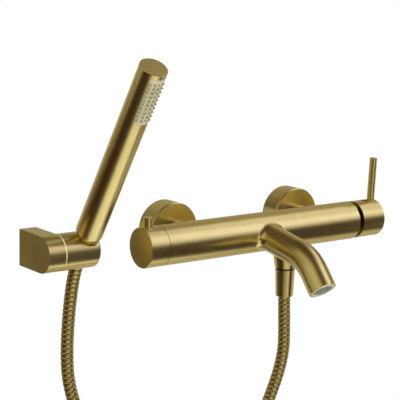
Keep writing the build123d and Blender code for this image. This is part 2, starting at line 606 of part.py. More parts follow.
# ---------------------------------------------------------------- diverter side
def diverter():
    """Diverter knob with its pin, spindle, housing, discs, ring nut and screw."""
    r = BODY_R
    knob = turned(
        [(KNOB_LEFT, 0), (KNOB_RIGHT - KNOB_BORE_DEPTH, 0), (KNOB_RIGHT - KNOB_BORE_DEPTH, KNOB_BORE_D / 2),
         (KNOB_RIGHT, KNOB_BORE_D / 2), (KNOB_RIGHT, r), (KNOB_LEFT + KNOB_BEVEL, r),
         (KNOB_LEFT, r - KNOB_BEVEL)],
        on_body(0), RIGHT)
    flat = SPINDLE_D / 2 - SPINDLE_FLAT
    socket = tube(on_body(0), RIGHT, SPINDLE_END - SEAT, 0, SPINDLE_D + 2 * FIT)
    cut_at = BODY_AXIS[2] + flat + FIT
    socket -= box_between(
        (SPINDLE_END - 1, BODY_AXIS[1] - SPINDLE_D, cut_at), (1, BODY_AXIS[1] + SPINDLE_D, cut_at + SPINDLE_D))
    knob -= socket
    pin_foot = on_body(KNOB_LEFT + KNOB_PIN_FROM_FACE)
    seat = r - KNOB_PIN_SEAT_DEPTH
    pin = tube(pin_foot, UP, seat, r + KNOB_PIN_PROUD, KNOB_PIN_D)
    pin = fillet(pin.edges().filter_by(GeomType.CIRCLE).sort_by(Axis.Z)[-1], PIN_EDGE_R)
    pin += tube(pin_foot, UP, seat - KNOB_PIN_STUD_LENGTH, seat + 1, KNOB_PIN_STUD_D)
    knob -= tube(pin_foot, UP, seat - SEAT, r + 1, KNOB_PIN_D + 2 * FIT)
    knob -= tube(pin_foot, UP, seat - KNOB_PIN_STUD_LENGTH - 1, seat + 1, KNOB_PIN_STUD_D + 2 * FIT)
    grub_top = seat - KNOB_PIN_STUD_LENGTH - SLIP
    grub = tube(pin_foot, UP, flat + 2 * FIT, grub_top, SPINDLE_SCREW_D)
    grub -= hexagon(pin_foot, UP, grub_top - GRUB_SOCKET_DEPTH, grub_top + 1, GRUB_SOCKET)
    knob -= tube(pin_foot, UP, 0, seat, SPINDLE_SCREW_D + 2 * FIT)

    far, near = DIVERTER_FAR, DIVERTER_NEAR
    outer = DIVERTER_D / 2
    inner = outer - DIVERTER_WALL
    collar_bore = SPINDLE_D / 2 + RUNNING
    housing = turned(
        [(far, inner), (near + DIVERTER_WALL, inner), (near + DIVERTER_WALL, collar_bore),
         (DIVERTER_COLLAR_END, collar_bore), (DIVERTER_COLLAR_END, DIVERTER_COLLAR_D / 2),
         (near, DIVERTER_COLLAR_D / 2), (near, outer), (far, outer)],
        on_body(0), RIGHT)
    fixed = tube(on_body(0), RIGHT, far - DIVERTER_DISC_T, far, 2 * (inner - FIT))
    disc_end = far - DIVERTER_DISC_T - SEAT
    hub = disc_end - DIVERTER_DISC_T
    disc = tube(on_body(0), RIGHT, hub, disc_end, 2 * (inner - SLIP))
    port = Pos(0, 0, DIVERTER_PORT_RADIUS) * tube(on_body(0), RIGHT, hub - 1, far + 1, DIVERTER_PORT_D)
    fixed -= port
    fixed -= Pos(0, 0, -2 * DIVERTER_PORT_RADIUS) * port
    disc -= port
    spindle = tube(on_body(0), RIGHT, SPINDLE_END, hub, SPINDLE_D)
    spindle += tube(on_body(0), RIGHT, near + DIVERTER_WALL + DIVERTER_HUB_GAP, hub, 2 * (inner - SLIP))
    spindle -= box_between(
        (SPINDLE_END - 1, BODY_AXIS[1] - SPINDLE_D, BODY_AXIS[2] + flat),
        (KNOB_RIGHT - KNOB_BORE_DEPTH + 1, BODY_AXIS[1] + SPINDLE_D, BODY_AXIS[2] + SPINDLE_D))
    nut = tube(on_body(0), RIGHT, near - DIVERTER_NUT_T, near, BODY_BORE_D - 4 * FIT,
               DIVERTER_COLLAR_D + 4 * FIT)
    x, y, z = on_body(near - DIVERTER_NUT_T)
    half_slot = NUT_SLOT / 2
    nut -= box_between((x - 1, y - half_slot, z - BORE_R), (x + NUT_SLOT_DEPTH, y + half_slot, z + BORE_R))
    return knob, pin, grub, housing, fixed, disc, spindle, nut


# ---------------------------------------------------------------- water core
def water_core():
    """Inner core with sealing lands that keep hot, mixed and cold water apart, and its seals."""
    core = tube(on_body(0), RIGHT, CORE_START, CORE_END, CORE_TUBE_D)
    groove_r = BORE_R - FIT - SEAL_SECTION_D
    seals = []
    for x in CORE_LANDS:
        core += tube(on_body(x), RIGHT, 0, CORE_LAND_T, 2 * (BORE_R - FIT))
        middle = CORE_LAND_T / 2
        half = SEAL_GROOVE / 2
        core -= tube(on_body(x), RIGHT, middle - half, middle + half, BODY_D, 2 * groove_r)
        ring = Pos(groove_r + SEAL_SECTION_D / 2, 0, middle) * Rot(90, 0, 0) * Circle(SEAL_SECTION_D / 2 - SEAT)
        seals.append(Plane(origin=on_body(x), z_dir=RIGHT) * revolve(ring, Axis.Z))
    core -= tube(on_body(0), RIGHT, CORE_START - 1, CORE_END + 1, CORE_TUBE_BORE_D)
    core -= tube(on_body(INLETS["left"]), UP, -BODY_R, 0, CORE_PORT_D)
    return core, Compound(seals)


# ---------------------------------------------------------------- hose ends
def hose_nipple():
    """Outlet stud in the boss: collar in the shadow gap and a male end below."""
    top = BOSS_DROP - NIPPLE_INSIDE + SEAT
    collar_end = BOSS_DROP + NIPPLE_COLLAR_T
    stud_end = collar_end + STUD_REACH
    stud = MIXER_END.stud_d / 2
    outline = [
        (top, NIPPLE_BORE_D / 2), (stud_end, NIPPLE_BORE_D / 2), (stud_end, stud), (collar_end, stud),
        (collar_end, NIPPLE_COLLAR_D / 2), (BOSS_DROP, NIPPLE_COLLAR_D / 2), (BOSS_DROP, stud), (top, stud)]
    return turned(outline, on_body(BOSS_X), -UP)


def hose_end(origin, along, top, kind):
    """Conical nut, washer and ferrule of one hose end, and where the free hose starts."""
    nut_top = top + SEAT
    thread_end = nut_top + HOSE_THREAD_LENGTH
    end = nut_top + HOSE_NUT_LENGTH
    nut = turned(
        [(nut_top, kind.thread_d / 2), (thread_end, kind.thread_d / 2), (thread_end, HOSE_NUT_BORE_D / 2),
         (end, HOSE_NUT_BORE_D / 2), (end, kind.nut_end_d / 2 - HOSE_NUT_EDGE),
         (end - HOSE_NUT_EDGE, kind.nut_end_d / 2), (nut_top, kind.nut_top_d / 2)],
        origin, along)
    stud_end = top + STUD_REACH
    washer_end = stud_end + HOSE_WASHER_T
    collar_end = washer_end + FERRULE_COLLAR_T
    ferrule_end = washer_end + FERRULE_LENGTH
    collar = kind.stud_d / 2
    washer = tube(origin, along, stud_end, washer_end, kind.stud_d - SLIP, NIPPLE_BORE_D)
    ferrule = turned(
        [(washer_end, FERRULE_BORE_D / 2), (ferrule_end, FERRULE_BORE_D / 2), (ferrule_end, HOSE_D / 2),
         (collar_end, HOSE_D / 2), (collar_end, collar), (washer_end, collar)],
        origin, along)
    return nut, washer, ferrule, ferrule_end


# ---------------------------------------------------------------- hose
def coil_tangent(side, distance):
    """Point on a leg's tangent to the coil; side is -1 at the bracket and 1 at the mixer."""
    lean = math.radians(COIL_LEAN)
    x, y, z = COIL_CENTRE
    across = COIL_RADIUS * math.cos(lean) + distance * math.sin(lean)
    height = -COIL_RADIUS * math.sin(lean) + distance * math.cos(lean)
    return (x + side * across, y - side * COIL_HALF_WIDTH, z + height)


def hose_run(points, cutter=None):
    """Hose tube along straight runs joined by tangent arcs, and a print of its radii."""
    radii = []
    for a, b, c in zip(points, points[1:], points[2:]):
        first, second = Vector(*b) - Vector(*a), Vector(*c) - Vector(*b)
        half_turn = math.radians(first.get_angle(second)) / 2
        radii.append(0.45 * min(first.length, second.length) / math.tan(half_turn))
    path = FilletPolyline(*points, radius=radii)
    start = Vector(*points[0])
    section = Plane(origin=start, z_dir=Vector(*points[1]) - start) * Circle(HOSE_D / 2)
    run = sweep(section, path)
    ratio = run.volume / (math.pi * HOSE_D ** 2 / 4 * path.length)
    print("hose run", round(path.length, 1), "mm, radii", [round(r) for r in radii],
          "volume over section times length", round(ratio, 5))
    return run if cutter is None else run - cutter, path.length


def hose_coil():
    """Outer shape of the tied coil: a ring as wide as its turns, with its two straight ends."""
    reach = HOSE_D / 2 + COIL_SKIN
    half_width = COIL_HALF_WIDTH + reach
    ring = tube(COIL_CENTRE, OUT, -half_width, half_width, 2 * (COIL_RADIUS + reach), 2 * (COIL_RADIUS - reach))
    for side in (-1, 1):
        low, high = Vector(*coil_tangent(side, 0)), Vector(*coil_tangent(side, COIL_STUB))
        ring += tube(low, high - low, 0, COIL_STUB, HOSE_D)
    return ring


def hose_tie():
    """Flat strap round the bundle at the bottom of the coil."""
    reach = HOSE_D / 2 + COIL_SKIN + SLIP
    half_width = COIL_HALF_WIDTH + reach
    x, y, z = COIL_CENTRE
    outer_r = COIL_RADIUS + reach
    sag = outer_r - math.sqrt(outer_r ** 2 - (TIE_WIDTH / 2) ** 2)
    middle = Pos(x, y, z - COIL_RADIUS + sag / 2)
    outer = middle * Box(TIE_WIDTH, 2 * (half_width + TIE_T), 2 * (reach + TIE_T) + sag)
    inner = middle * Box(TIE_WIDTH + 2, 2 * half_width, 2 * reach + sag)
    return fillet(outer.edges().filter_by(Axis.X), TIE_T) - inner


# ---------------------------------------------------------------- hand shower
TILT = math.radians(HANDSET_TILT)
HANDSET_ORIGIN = (HANDSET_X, -BRACKET_REACH, BRACKET_Z)
HANDSET_ALONG = Vector(0, -math.sin(TILT), math.cos(TILT))
HANDSET_FRONT = Vector(0, -math.cos(TILT), -math.sin(TILT))
HANDSET_PLANE = Plane(origin=HANDSET_ORIGIN, x_dir=HANDSET_FRONT, z_dir=HANDSET_ALONG)
NUT_TOP = -(HANDSET_END_AT - SLIP)   # measured down the hose, so negative above the swivel axis


def spray_sector(outer_r, inner_r, low, high, half_angle):
    """Part of a tube wall, centred on the front of the handset."""
    wall = Pos(0, 0, low) * (extrude(Circle(outer_r), high - low) - extrude(Circle(inner_r), high - low))
    far = 3 * outer_r
    side = far * math.tan(math.radians(half_angle))
    wedge = make_face(Polyline((0, 0), (far, -side), (far, side), close=True))
    return HANDSET_PLANE * (wall & (Pos(0, 0, low) * extrude(wedge, high - low)))


def handset():
    """Slim hand shower: shell, spray plate, nozzles, waterway and threaded base."""
    r = HANDSET_D / 2
    inner = r - HANDSET_WALL
    top_inside = HANDSET_TOP - HANDSET_TOP_T
    stud = HANDSET_END.stud_d / 2
    shoulder = HANDSET_TAPER_AT + HANDSET_SHOULDER
    shell = turned(
        [(HANDSET_END_AT, stud + FIT), (shoulder, stud + FIT), (shoulder, inner), (top_inside, inner),
         (top_inside, 0), (HANDSET_TOP, 0), (HANDSET_TOP, r - HANDSET_EDGE), (HANDSET_TOP - HANDSET_EDGE, r),
         (HANDSET_TAPER_AT, r), (HANDSET_END_AT, HANDSET_END_D / 2)],
        HANDSET_ORIGIN, HANDSET_ALONG)
    rims = shell.edges().filter_by(GeomType.CIRCLE).sort_by(Axis(HANDSET_ORIGIN, HANDSET_ALONG))
    corner = [rim for rim in rims if abs(rim.radius - r) < FIT][0]
    shell = fillet(corner, HANDSET_TAPER_R)
    high = HANDSET_TOP - SPRAY_FROM_TOP
    low = high - SPRAY_LENGTH
    shell -= spray_sector(r + 1, inner - 1, low, high, SPRAY_HALF_ANGLE)
    edge = math.degrees(FIT / r)
    plate = spray_sector(r - FIT, inner - 2 * FIT, low + FIT, high - FIT, SPRAY_HALF_ANGLE - edge)
    plate += spray_sector(inner - FIT, inner - SPRAY_PLATE_T, low - SPRAY_LIP, high + SPRAY_LIP,
                          SPRAY_HALF_ANGLE + SPRAY_LIP_ANGLE)
    standing = (Align.CENTER, Align.CENTER, Align.MIN)
    foot = Rot(0, 90, 0) * Pos(0, 0, r - NOZZLE_ROOT)
    nozzle = foot * Cone(
        NOZZLE_D / 2, NOZZLE_D / 2 - NOZZLE_TAPER, NOZZLE_ROOT + NOZZLE_PROUD, align=standing)
    bore = foot * Cylinder(NOZZLE_D / 2 + SEAT, NOZZLE_ROOT + NOZZLE_PROUD, align=standing)
    row_pitch = (SPRAY_LENGTH - 2 * SPRAY_ROW_MARGIN) / (SPRAY_ROWS - 1)
    nozzles = []
    pockets = []
    for row in range(SPRAY_ROWS):
        for column in range(SPRAY_COLUMNS):
            turn = (column - (SPRAY_COLUMNS - 1) / 2) * SPRAY_COLUMN_ANGLE
            place = Pos(0, 0, low + SPRAY_ROW_MARGIN + row * row_pitch) * Rot(0, 0, turn)
            nozzles.append(HANDSET_PLANE * (place * nozzle))
            pockets.append(HANDSET_PLANE * (place * bore))
    plate -= Compound(pockets)
    stud_low = -NUT_TOP - STUD_REACH
    base_low = shoulder + SEAT
    base = turned(
        [(stud_low, NIPPLE_BORE_D / 2), (HANDSET_BASE_TOP, NIPPLE_BORE_D / 2), (HANDSET_BASE_TOP, inner - FIT),
         (base_low, inner - FIT), (base_low, stud), (stud_low, stud)],
        HANDSET_ORIGIN, HANDSET_ALONG)
    way = tube(HANDSET_ORIGIN, HANDSET_ALONG, HANDSET_BASE_TOP, top_inside - WATERWAY_TOP_GAP,
               WATERWAY_D, WATERWAY_D - 2 * WATERWAY_WALL)
    foot_top = HANDSET_BASE_TOP + WATERWAY_FOOT_T
    way += tube(HANDSET_ORIGIN, HANDSET_ALONG, HANDSET_BASE_TOP, foot_top, 2 * (inner - FIT),
                WATERWAY_D - 2 * WATERWAY_WALL)
    return shell, plate, Compound(nozzles), base, way


# ---------------------------------------------------------------- wall bracket
def swivel_axis(x):
    """Point of the swivel axis at x."""
    return (x, -BRACKET_REACH, BRACKET_Z)


def swivel_holder():
    """Round holder with the tapered seat for the hose nut of the hand shower."""
    r = SWIVEL_D / 2
    holder = tube(swivel_axis(0), RIGHT, SWIVEL_LEFT, SWIVEL_RIGHT, SWIVEL_D)
    holder = fillet(holder.edges().filter_by(GeomType.CIRCLE).sort_by(Axis.X)[-1], SWIVEL_EDGE_R)
    slope = (HANDSET_END.nut_top_d - HANDSET_END.nut_end_d) / 2 / HOSE_NUT_LENGTH
    far = SWIVEL_D
    middle_r = HANDSET_END.nut_top_d / 2 + slope * NUT_TOP + SLIP
    seat = turned(
        [(-far, 0), (far, 0), (far, middle_r + slope * far), (-far, middle_r - slope * far)],
        HANDSET_ORIGIN, HANDSET_ALONG)
    seat += tube(HANDSET_ORIGIN, HANDSET_ALONG, SEAT_FLOOR, far, SEAT_D)
    holder -= seat
    holder -= tube(swivel_axis(0), RIGHT, SWIVEL_LEFT - 1, SWIVEL_LEFT + STUD_DEPTH, STUD_D + 2 * FIT)
    return holder


def wall_block():
    """D-shaped block: flat against the wall, rounded at the front, hollow from behind."""
    r = SWIVEL_D / 2
    right = SWIVEL_LEFT - RING_T
    block = tube(swivel_axis(0), RIGHT, BLOCK_LEFT, right, SWIVEL_D)
    block += box_between((BLOCK_LEFT, -BRACKET_REACH, BRACKET_Z - r), (right, 0, BRACKET_Z + r))
    inner = r - BLOCK_WALL
    left = BLOCK_LEFT + BLOCK_WALL
    cavity = box_between((left, -BRACKET_REACH, BRACKET_Z - inner), (right - BLOCK_WALL, 1, BRACKET_Z + inner))
    cavity += tube(swivel_axis(0), RIGHT, left, right - BLOCK_WALL, 2 * inner)
    block -= cavity
    block -= tube(swivel_axis(0), RIGHT, left + 1, right + 1, STUD_D + 2 * RUNNING)
    block -= tube(block_grub_axis(), -UP, 0, SWIVEL_D, BLOCK_GRUB_D + 2 * FIT)
    return block


def block_grub_axis():
    """Axis of the grub screw under the block."""
    return ((BLOCK_LEFT + SWIVEL_LEFT - RING_T) / 2, -(PLATE_T + TONGUE_DEPTH / 2), BRACKET_Z)


def block_grub_screw():
    """Grub screw that clamps the block on the tongue of its plate."""
    foot = SWIVEL_D / 2 - BLOCK_GRUB_INSET
    grub = tube(block_grub_axis(), -UP, TONGUE_HEIGHT / 2 + SEAT, foot, BLOCK_GRUB_D)
    return grub - hexagon(block_grub_axis(), -UP, foot - GRUB_SOCKET_DEPTH, SWIVEL_D, GRUB_SOCKET)


def bracket_plate():
    """Plate screwed to the wall with a tongue that the grub screw bears on."""
    left = BLOCK_LEFT + BLOCK_WALL + SLIP
    right = SWIVEL_LEFT - RING_T - BLOCK_WALL - SLIP
    half = PLATE_HEIGHT / 2
    plate = box_between((left, -PLATE_T, BRACKET_Z - half), (right, 0, BRACKET_Z + half))
    tongue = TONGUE_HEIGHT / 2
    plate += box_between(
        (left, -PLATE_T - TONGUE_DEPTH, BRACKET_Z - tongue), (right, -PLATE_T, BRACKET_Z + tongue))
    for sign in (-1, 1):
        axis = (block_grub_axis()[0], 0, BRACKET_Z + sign * WALL_SCREW_SPACING / 2)
        plate -= tube(axis, OUT, -1, PLATE_T + 1, WALL_SCREW_D + 4 * FIT)
    return plate


def pivot_parts():
    """Stud in the holder, and the wave washer and nut that clamp it inside the block."""
    wall = SWIVEL_LEFT - RING_T - BLOCK_WALL
    stud_end = SWIVEL_LEFT - STUD_INSIDE - RING_T
    stud = tube(swivel_axis(0), RIGHT, stud_end, SWIVEL_LEFT + STUD_DEPTH - STUD_END_GAP, STUD_D)
    washer = tube(swivel_axis(0), RIGHT, wall - WAVE_WASHER_T, wall, WAVE_WASHER_D, STUD_D + 2 * FIT)
    nut_face = wall - WAVE_WASHER_T
    nut = hexagon(swivel_axis(0), RIGHT, nut_face - PIVOT_NUT_T, nut_face, PIVOT_NUT_AF)
    nut -= tube(swivel_axis(0), RIGHT, nut_face - PIVOT_NUT_T - 1, nut_face + 1, STUD_D + 2 * FIT)
    return stud, washer, nut


# ---------------------------------------------------------------- build
def main():
    os.makedirs("parts", exist_ok=True)
    save("mixer_body", mixer_body())
    for node, shape in zip(("aerator_ring", "aerator_seal", "aerator_grid"), aerator()):
        save(node, shape)
    for side, x in INLETS.items():
        save(f"s_union_{side}", s_union(x))
        save(f"wall_flange_{side}", wall_flange(x))
    save("union_nuts", Compound([union_nut(x) for x in INLETS.values()]))
    save("union_gaskets", Compound([union_gasket(x) for x in INLETS.values()]))

    names = ("cartridge_housing", "fixed_disc", "moving_disc", "disc_carrier", "cartridge_rotor",
             "stem_pin", "lever_stem")
    for node, shape in zip(names, cartridge()):
        save(node, shape)
    save("cartridge_nut", cartridge_nut())
    save("neck_ring", neck_ring())
    for node, shape in zip(("handle_cap", "handle_screw", "handle_lever"), handle()):
        save(node, shape)

    names = ("diverter_knob", "diverter_pin", "diverter_grub_screw", "diverter_housing",
             "diverter_fixed_disc", "diverter_disc", "diverter_spindle", "diverter_nut")
    for node, shape in zip(names, diverter()):
        save(node, shape)
    core, seals = water_core()
    save("water_core", core)
    save("core_seals", seals)

    save("hose_nipple", hose_nipple())
    kinds = ("nut", "washer", "ferrule")
    *pieces, mixer_hose_end = hose_end(on_body(BOSS_X), -UP, BOSS_DROP + NIPPLE_COLLAR_T, MIXER_END)
    for kind, shape in zip(kinds, pieces):
        save(f"hose_{kind}_mixer", shape)

    shell, plate, nozzles, base, way = handset()
    save("handset_shell", shell)
    save("spray_plate", plate)
    save("spray_nozzles", nozzles)
    save("handset_base", base)
    save("handset_waterway", way)
    *pieces, tail_start = hose_end(HANDSET_ORIGIN, -HANDSET_ALONG, NUT_TOP, HANDSET_END)
    for kind, shape in zip(kinds, pieces):
        save(f"hose_{kind}_handset", shape)
    inside = tube(swivel_axis(0), RIGHT, SWIVEL_LEFT, 0, SWIVEL_D - 2 * SLIP)
    save("hose_tail", tube(HANDSET_ORIGIN, -HANDSET_ALONG, tail_start, SWIVEL_D, HOSE_D) & inside)

    exit_distance = SWIVEL_D / 2
    start = Vector(*HANDSET_ORIGIN) - HANDSET_ALONG * exit_distance
    outside = tube(swivel_axis(0), RIGHT, 2 * HANDSET_X, 0, SWIVEL_D + 2 * SLIP)
    bracket_leg = [
        tuple(start), (-187.2, -22.3, -17.0), (-187.2, -17.0, -37.0), (-187.2, -12.8, -62.0),
        (-187.2, -10.3, -92.0), (-186.4, -11.0, -119.0), (-181.6, -16.4, -146.0),
        coil_tangent(-1, COIL_STUB + COIL_LAST_RUN), coil_tangent(-1, COIL_STUB)]
    left_leg, left_length = hose_run(bracket_leg, outside)
    save("hose_leg_bracket", left_leg)
    top = BODY_AXIS[2] - mixer_hose_end
    mixer_leg = [
        (BOSS_X, -BODY_REACH, top), (BOSS_X, -BODY_REACH, -62.0), (26.8, -BODY_REACH, -86.0),
        (27.6, -64.6, -114.0), (22.0, -59.8, -146.0),
        coil_tangent(1, COIL_STUB + COIL_LAST_RUN), coil_tangent(1, COIL_STUB)]
    right_leg, right_length = hose_run(mixer_leg)
    save("hose_leg_mixer", right_leg)
    save("hose_coil", hose_coil())
    save("hose_tie", hose_tie())
    coil_length = math.radians(COIL_SWEEP) * COIL_RADIUS + 2 * COIL_STUB
    print("hose length", round(left_length + coil_length + right_length, 1), "mm")

    save("swivel_holder", swivel_holder())
    save("swivel_ring", tube(swivel_axis(0), RIGHT, SWIVEL_LEFT - RING_T, SWIVEL_LEFT, RING_D,
                             STUD_D + 4 * RUNNING))
    save("wall_block", wall_block())
    save("bracket_plate", bracket_plate())
    for node, shape in zip(("pivot_stud", "wave_washer", "pivot_nut"), pivot_parts()):
        save(node, shape)
    save("block_grub_screw", block_grub_screw())


if __name__ == "__main__":
    main()
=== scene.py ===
"""Looks of a wall mounted bath mixer with a ribbed hose, a slim hand shower and a wall bracket.

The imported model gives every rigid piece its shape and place. This script dresses those pieces in
brushed brass and the finishes of the small parts, and models what bends: the ribbed hose in its
whole length, the stretch of hose that follows the hand shower out of its holder, and the tie.
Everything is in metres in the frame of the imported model.
"""

import json
import logging
import math
from abc import ABC, abstractmethod
from dataclasses import dataclass, field
from enum import Enum

import bpy
import numpy as np
from mathutils import Matrix, Vector


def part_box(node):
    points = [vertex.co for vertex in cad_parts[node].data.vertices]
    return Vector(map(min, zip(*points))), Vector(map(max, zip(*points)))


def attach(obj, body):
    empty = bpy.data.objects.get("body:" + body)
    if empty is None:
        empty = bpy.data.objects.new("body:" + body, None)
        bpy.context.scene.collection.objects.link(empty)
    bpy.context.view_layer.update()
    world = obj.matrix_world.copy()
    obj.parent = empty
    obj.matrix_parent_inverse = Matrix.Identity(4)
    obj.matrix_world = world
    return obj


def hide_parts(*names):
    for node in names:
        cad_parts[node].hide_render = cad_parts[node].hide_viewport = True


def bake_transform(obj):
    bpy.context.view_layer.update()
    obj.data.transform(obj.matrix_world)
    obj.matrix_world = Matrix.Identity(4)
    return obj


logging.basicConfig(level=logging.INFO, format="%(message)s")
LOG = logging.getLogger("bath_mixer")

Point = tuple[float, float, float]
Colour = tuple[float, float, float]
Span = tuple[float, float]

MM = 0.001
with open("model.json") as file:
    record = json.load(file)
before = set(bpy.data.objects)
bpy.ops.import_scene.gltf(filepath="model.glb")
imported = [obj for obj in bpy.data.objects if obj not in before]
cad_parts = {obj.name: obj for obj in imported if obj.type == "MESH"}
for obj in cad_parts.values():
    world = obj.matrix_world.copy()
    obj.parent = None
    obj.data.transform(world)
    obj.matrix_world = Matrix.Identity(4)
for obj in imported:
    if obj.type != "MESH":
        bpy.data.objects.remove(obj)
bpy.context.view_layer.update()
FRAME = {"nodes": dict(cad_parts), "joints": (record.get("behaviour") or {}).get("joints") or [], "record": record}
NODES = FRAME["nodes"]
JOINTS = {joint["name"]: joint for joint in FRAME["joints"]}

ALONG_BODY = Vector((1.0, 0.0, 0.0))
OUT_OF_WALL = Vector((0.0, -1.0, 0.0))
INTO_WALL = Vector((0.0, 1.0, 0.0))
UPWARD = Vector((0.0, 0.0, 1.0))
ALONG_HANDSET = Vector(JOINTS["handset_lift"]["axis"])
SWIVEL_CENTRE = Vector(JOINTS["bracket_swivel"]["pos_m"])

# The hose's skin carries this attribute, 0 in the grooves and 1 on the ribs; the hose's material paints shade into
# the grooves by it.
CROWN = "crown"


def add_object(name: str, data: bpy.types.ID) -> bpy.types.Object:
    """Put a new object into the scene, at the origin.

    Args:
        name: name of the object.
        data: the mesh, curve, camera or light that it shows.

    Returns:
        The new object.
    """
    item = bpy.data.objects.new(name, data)
    bpy.context.scene.collection.objects.link(item)
    return item


# ---------------------------------------------------------------- finishes
class Brushing(Enum):
    """Axis of a piece that the fine lines of its brushed surface run round."""

    ROUND_BODY = tuple(ALONG_BODY)
    ROUND_HANDSET = tuple(ALONG_HANDSET)
    ROUND_OUTLET = tuple(UPWARD)
    ROUND_INLET = tuple(OUT_OF_WALL)


@dataclass
class NodeSheet:
    """A material's node tree with short calls for adding and linking nodes.

    A noise factor keeps within noise_range, and colours are mixed over the narrower tint_range.
    """

    name: str
    noise_range: Span = (0.3, 0.7)
    noise_roughness: float = 0.6
    tint_range: Span = (0.32, 0.68)
    material: bpy.types.Material = field(init=False)
    tree: bpy.types.NodeTree = field(init=False)
    shader: bpy.types.Node = field(init=False)

    def __post_init__(self) -> None:
        """Start a material that holds a Principled shader."""
        self.material = bpy.data.materials.new(self.name)
        self.material.use_nodes = True
        self.tree = self.material.node_tree
        self.shader = self.tree.nodes["Principled BSDF"]

    def add(self, kind: str, inputs: dict[str, object] | None = None, **settings: str) -> bpy.types.Node:
        """Add one node.

        Args:
            kind: Blender's name of the node type, without its ShaderNode prefix.
            inputs: values for the node's sockets by name.
            settings: plain properties of the node.

        Returns:
            The new node.
        """
        node = self.tree.nodes.new("ShaderNode" + kind)
        for key, value in settings.items():
            setattr(node, key, value)
        for key, value in (inputs or {}).items():
            node.inputs[key].default_value = value
        return node

    def link(self, out: bpy.types.NodeSocket, into: bpy.types.NodeSocket) -> None:
        """Join an output socket to an input socket."""
        self.tree.links.new(out, into)

    def set(self, **values: float) -> None:
        """Set constant values on the shader's own sockets, with _ for a space in a name."""
        for key, value in values.items():
            self.shader.inputs[key.replace("_", " ")].default_value = value

    def noise(self, axis: Vector, across: float, along: float, detail: float) -> bpy.types.NodeSocket:
        """Noise on Object coordinates, stretched by its two scales.

        Args:
            axis: direction on the piece that is turned to Z for the pattern.
            across: how often the pattern changes in a metre across the axis.
            along: how often it changes in a metre along the axis.
            detail: how many finer layers of noise lie on the first.

        Returns:
            The socket with the noise's factor.
        """
        coordinates = self.add("TexCoord")
        turn = self.add("Mapping", {"Rotation": axis.rotation_difference(UPWARD).to_euler()})
        stretch = self.add("Mapping", {"Scale": (across, across, along)})
        noise = self.add("TexNoise", {"Scale": 1.0, "Detail": detail, "Roughness": self.noise_roughness})
        self.link(coordinates.outputs["Object"], turn.inputs["Vector"])
        self.link(turn.outputs["Vector"], stretch.inputs["Vector"])
        self.link(stretch.outputs["Vector"], noise.inputs["Vector"])
        return noise.outputs["Fac"]

    def tint(self, factor: bpy.types.NodeSocket, dark: Colour, light: Colour) -> None:
        """Colour the shader between two colours.

        Args:
            factor: noise that mixes them.
            dark: the colour where the noise is low.
            light: the colour where it is high.
        """
        ramp = self.add("ValToRGB")
        for element, position, colour in zip(ramp.color_ramp.elements, self.tint_range, (dark, light)):
            element.position = position
            element.color = (*colour, 1.0)
        self.link(factor, ramp.inputs["Fac"])
        self.link(ramp.outputs["Color"], self.shader.inputs["Base Color"])

    def shade(self, attribute: str, painted_shade: Colour, full: float) -> None:
        """Paint shade into the shader's colour by an attribute of the piece.

        Args:
            attribute: name of the attribute.
            painted_shade: the colour of the painted shade where the attribute is 0.
            full: the attribute from which the colour is left as it was.
        """
        colour = self.shader.inputs["Base Color"].links[0].from_socket
        share = self.add("MapRange", {"From Max": full})
        mix = self.add("Mix", data_type="RGBA")
        mix.inputs["A"].default_value = (*painted_shade, 1.0)
        self.link(self.add("Attribute", attribute_name=attribute).outputs["Fac"], share.inputs["Value"])
        self.link(share.outputs["Result"], mix.inputs["Factor"])
        self.link(colour, mix.inputs["B"])
        self.link(mix.outputs["Result"], self.shader.inputs["Base Color"])

    def roughen(self, factor: bpy.types.NodeSocket, middle: float, swing: float) -> None:
        """Let the shader's roughness vary with a noise.

        Args:
            factor: the noise.
            middle: roughness in the middle.
            swing: how much more or less it is where the noise is highest or lowest.
        """
        low, high = self.noise_range
        node = self.add("MapRange", {
            "From Min": low, "From Max": high, "To Min": middle - swing, "To Max": middle + swing})
        self.link(factor, node.inputs["Value"])
        self.link(node.outputs["Result"], self.shader.inputs["Roughness"])

    def bump(self, height: bpy.types.NodeSocket, strength: float, depth: float) -> None:
        """Raise the surface by a pattern.

        Args:
            height: the pattern.
            strength: how much of it shows, from 0 to 1.
            depth: height of the pattern in metres.
        """
        node = self.add("Bump", {"Strength": strength, "Distance": depth})
        self.link(height, node.inputs["Height"])
        self.link(node.outputs["Normal"], self.shader.inputs["Normal"])


@dataclass(frozen=True)
class Finish(ABC):
    """A finish whose colour drifts between two near colours, and its roughness by a small swing.

    Clouds are counted per metre, and every other size is in metres.
    """

    name: str
    dark: Colour
    light: Colour
    roughness: float
    swing: float

    @abstractmethod
    def make(self) -> bpy.types.Material:
        """Build the finish's material."""


@dataclass(frozen=True)
class BrushedMetal(Finish):
    """Metal with fine lines left by a brush that ran round the piece.

    A line is line_width wide and changes line_changes times in a metre of its length.
    """

    roughness: float = 0.30
    swing: float = 0.03
    line_width: float = 0.00016
    line_changes: float = 18.0
    line_detail: float = 4.0
    relief: float = 0.15
    depth: float = 0.000002
    clouds_across: float = 45.0
    clouds_along: float = 60.0
    cloud_detail: float = 2.0
    brushing: Brushing = Brushing.ROUND_BODY

    def make(self) -> bpy.types.Material:
        """Build the material: lines in bump and roughness, and a faint drift of colour.

        Returns:
            The new material.
        """
        sheet = NodeSheet(f"{self.name}_{self.brushing.name.lower()}")
        sheet.set(Metallic=1.0)
        axis = Vector(self.brushing.value)
        lines = sheet.noise(axis, self.line_changes, 1.0 / self.line_width, self.line_detail)
        cloud = sheet.noise(axis, self.clouds_across, self.clouds_along, self.cloud_detail)
        sheet.tint(cloud, self.dark, self.light)
        sheet.roughen(lines, self.roughness, self.swing)
        sheet.bump(lines, self.relief, self.depth)
        return sheet.material


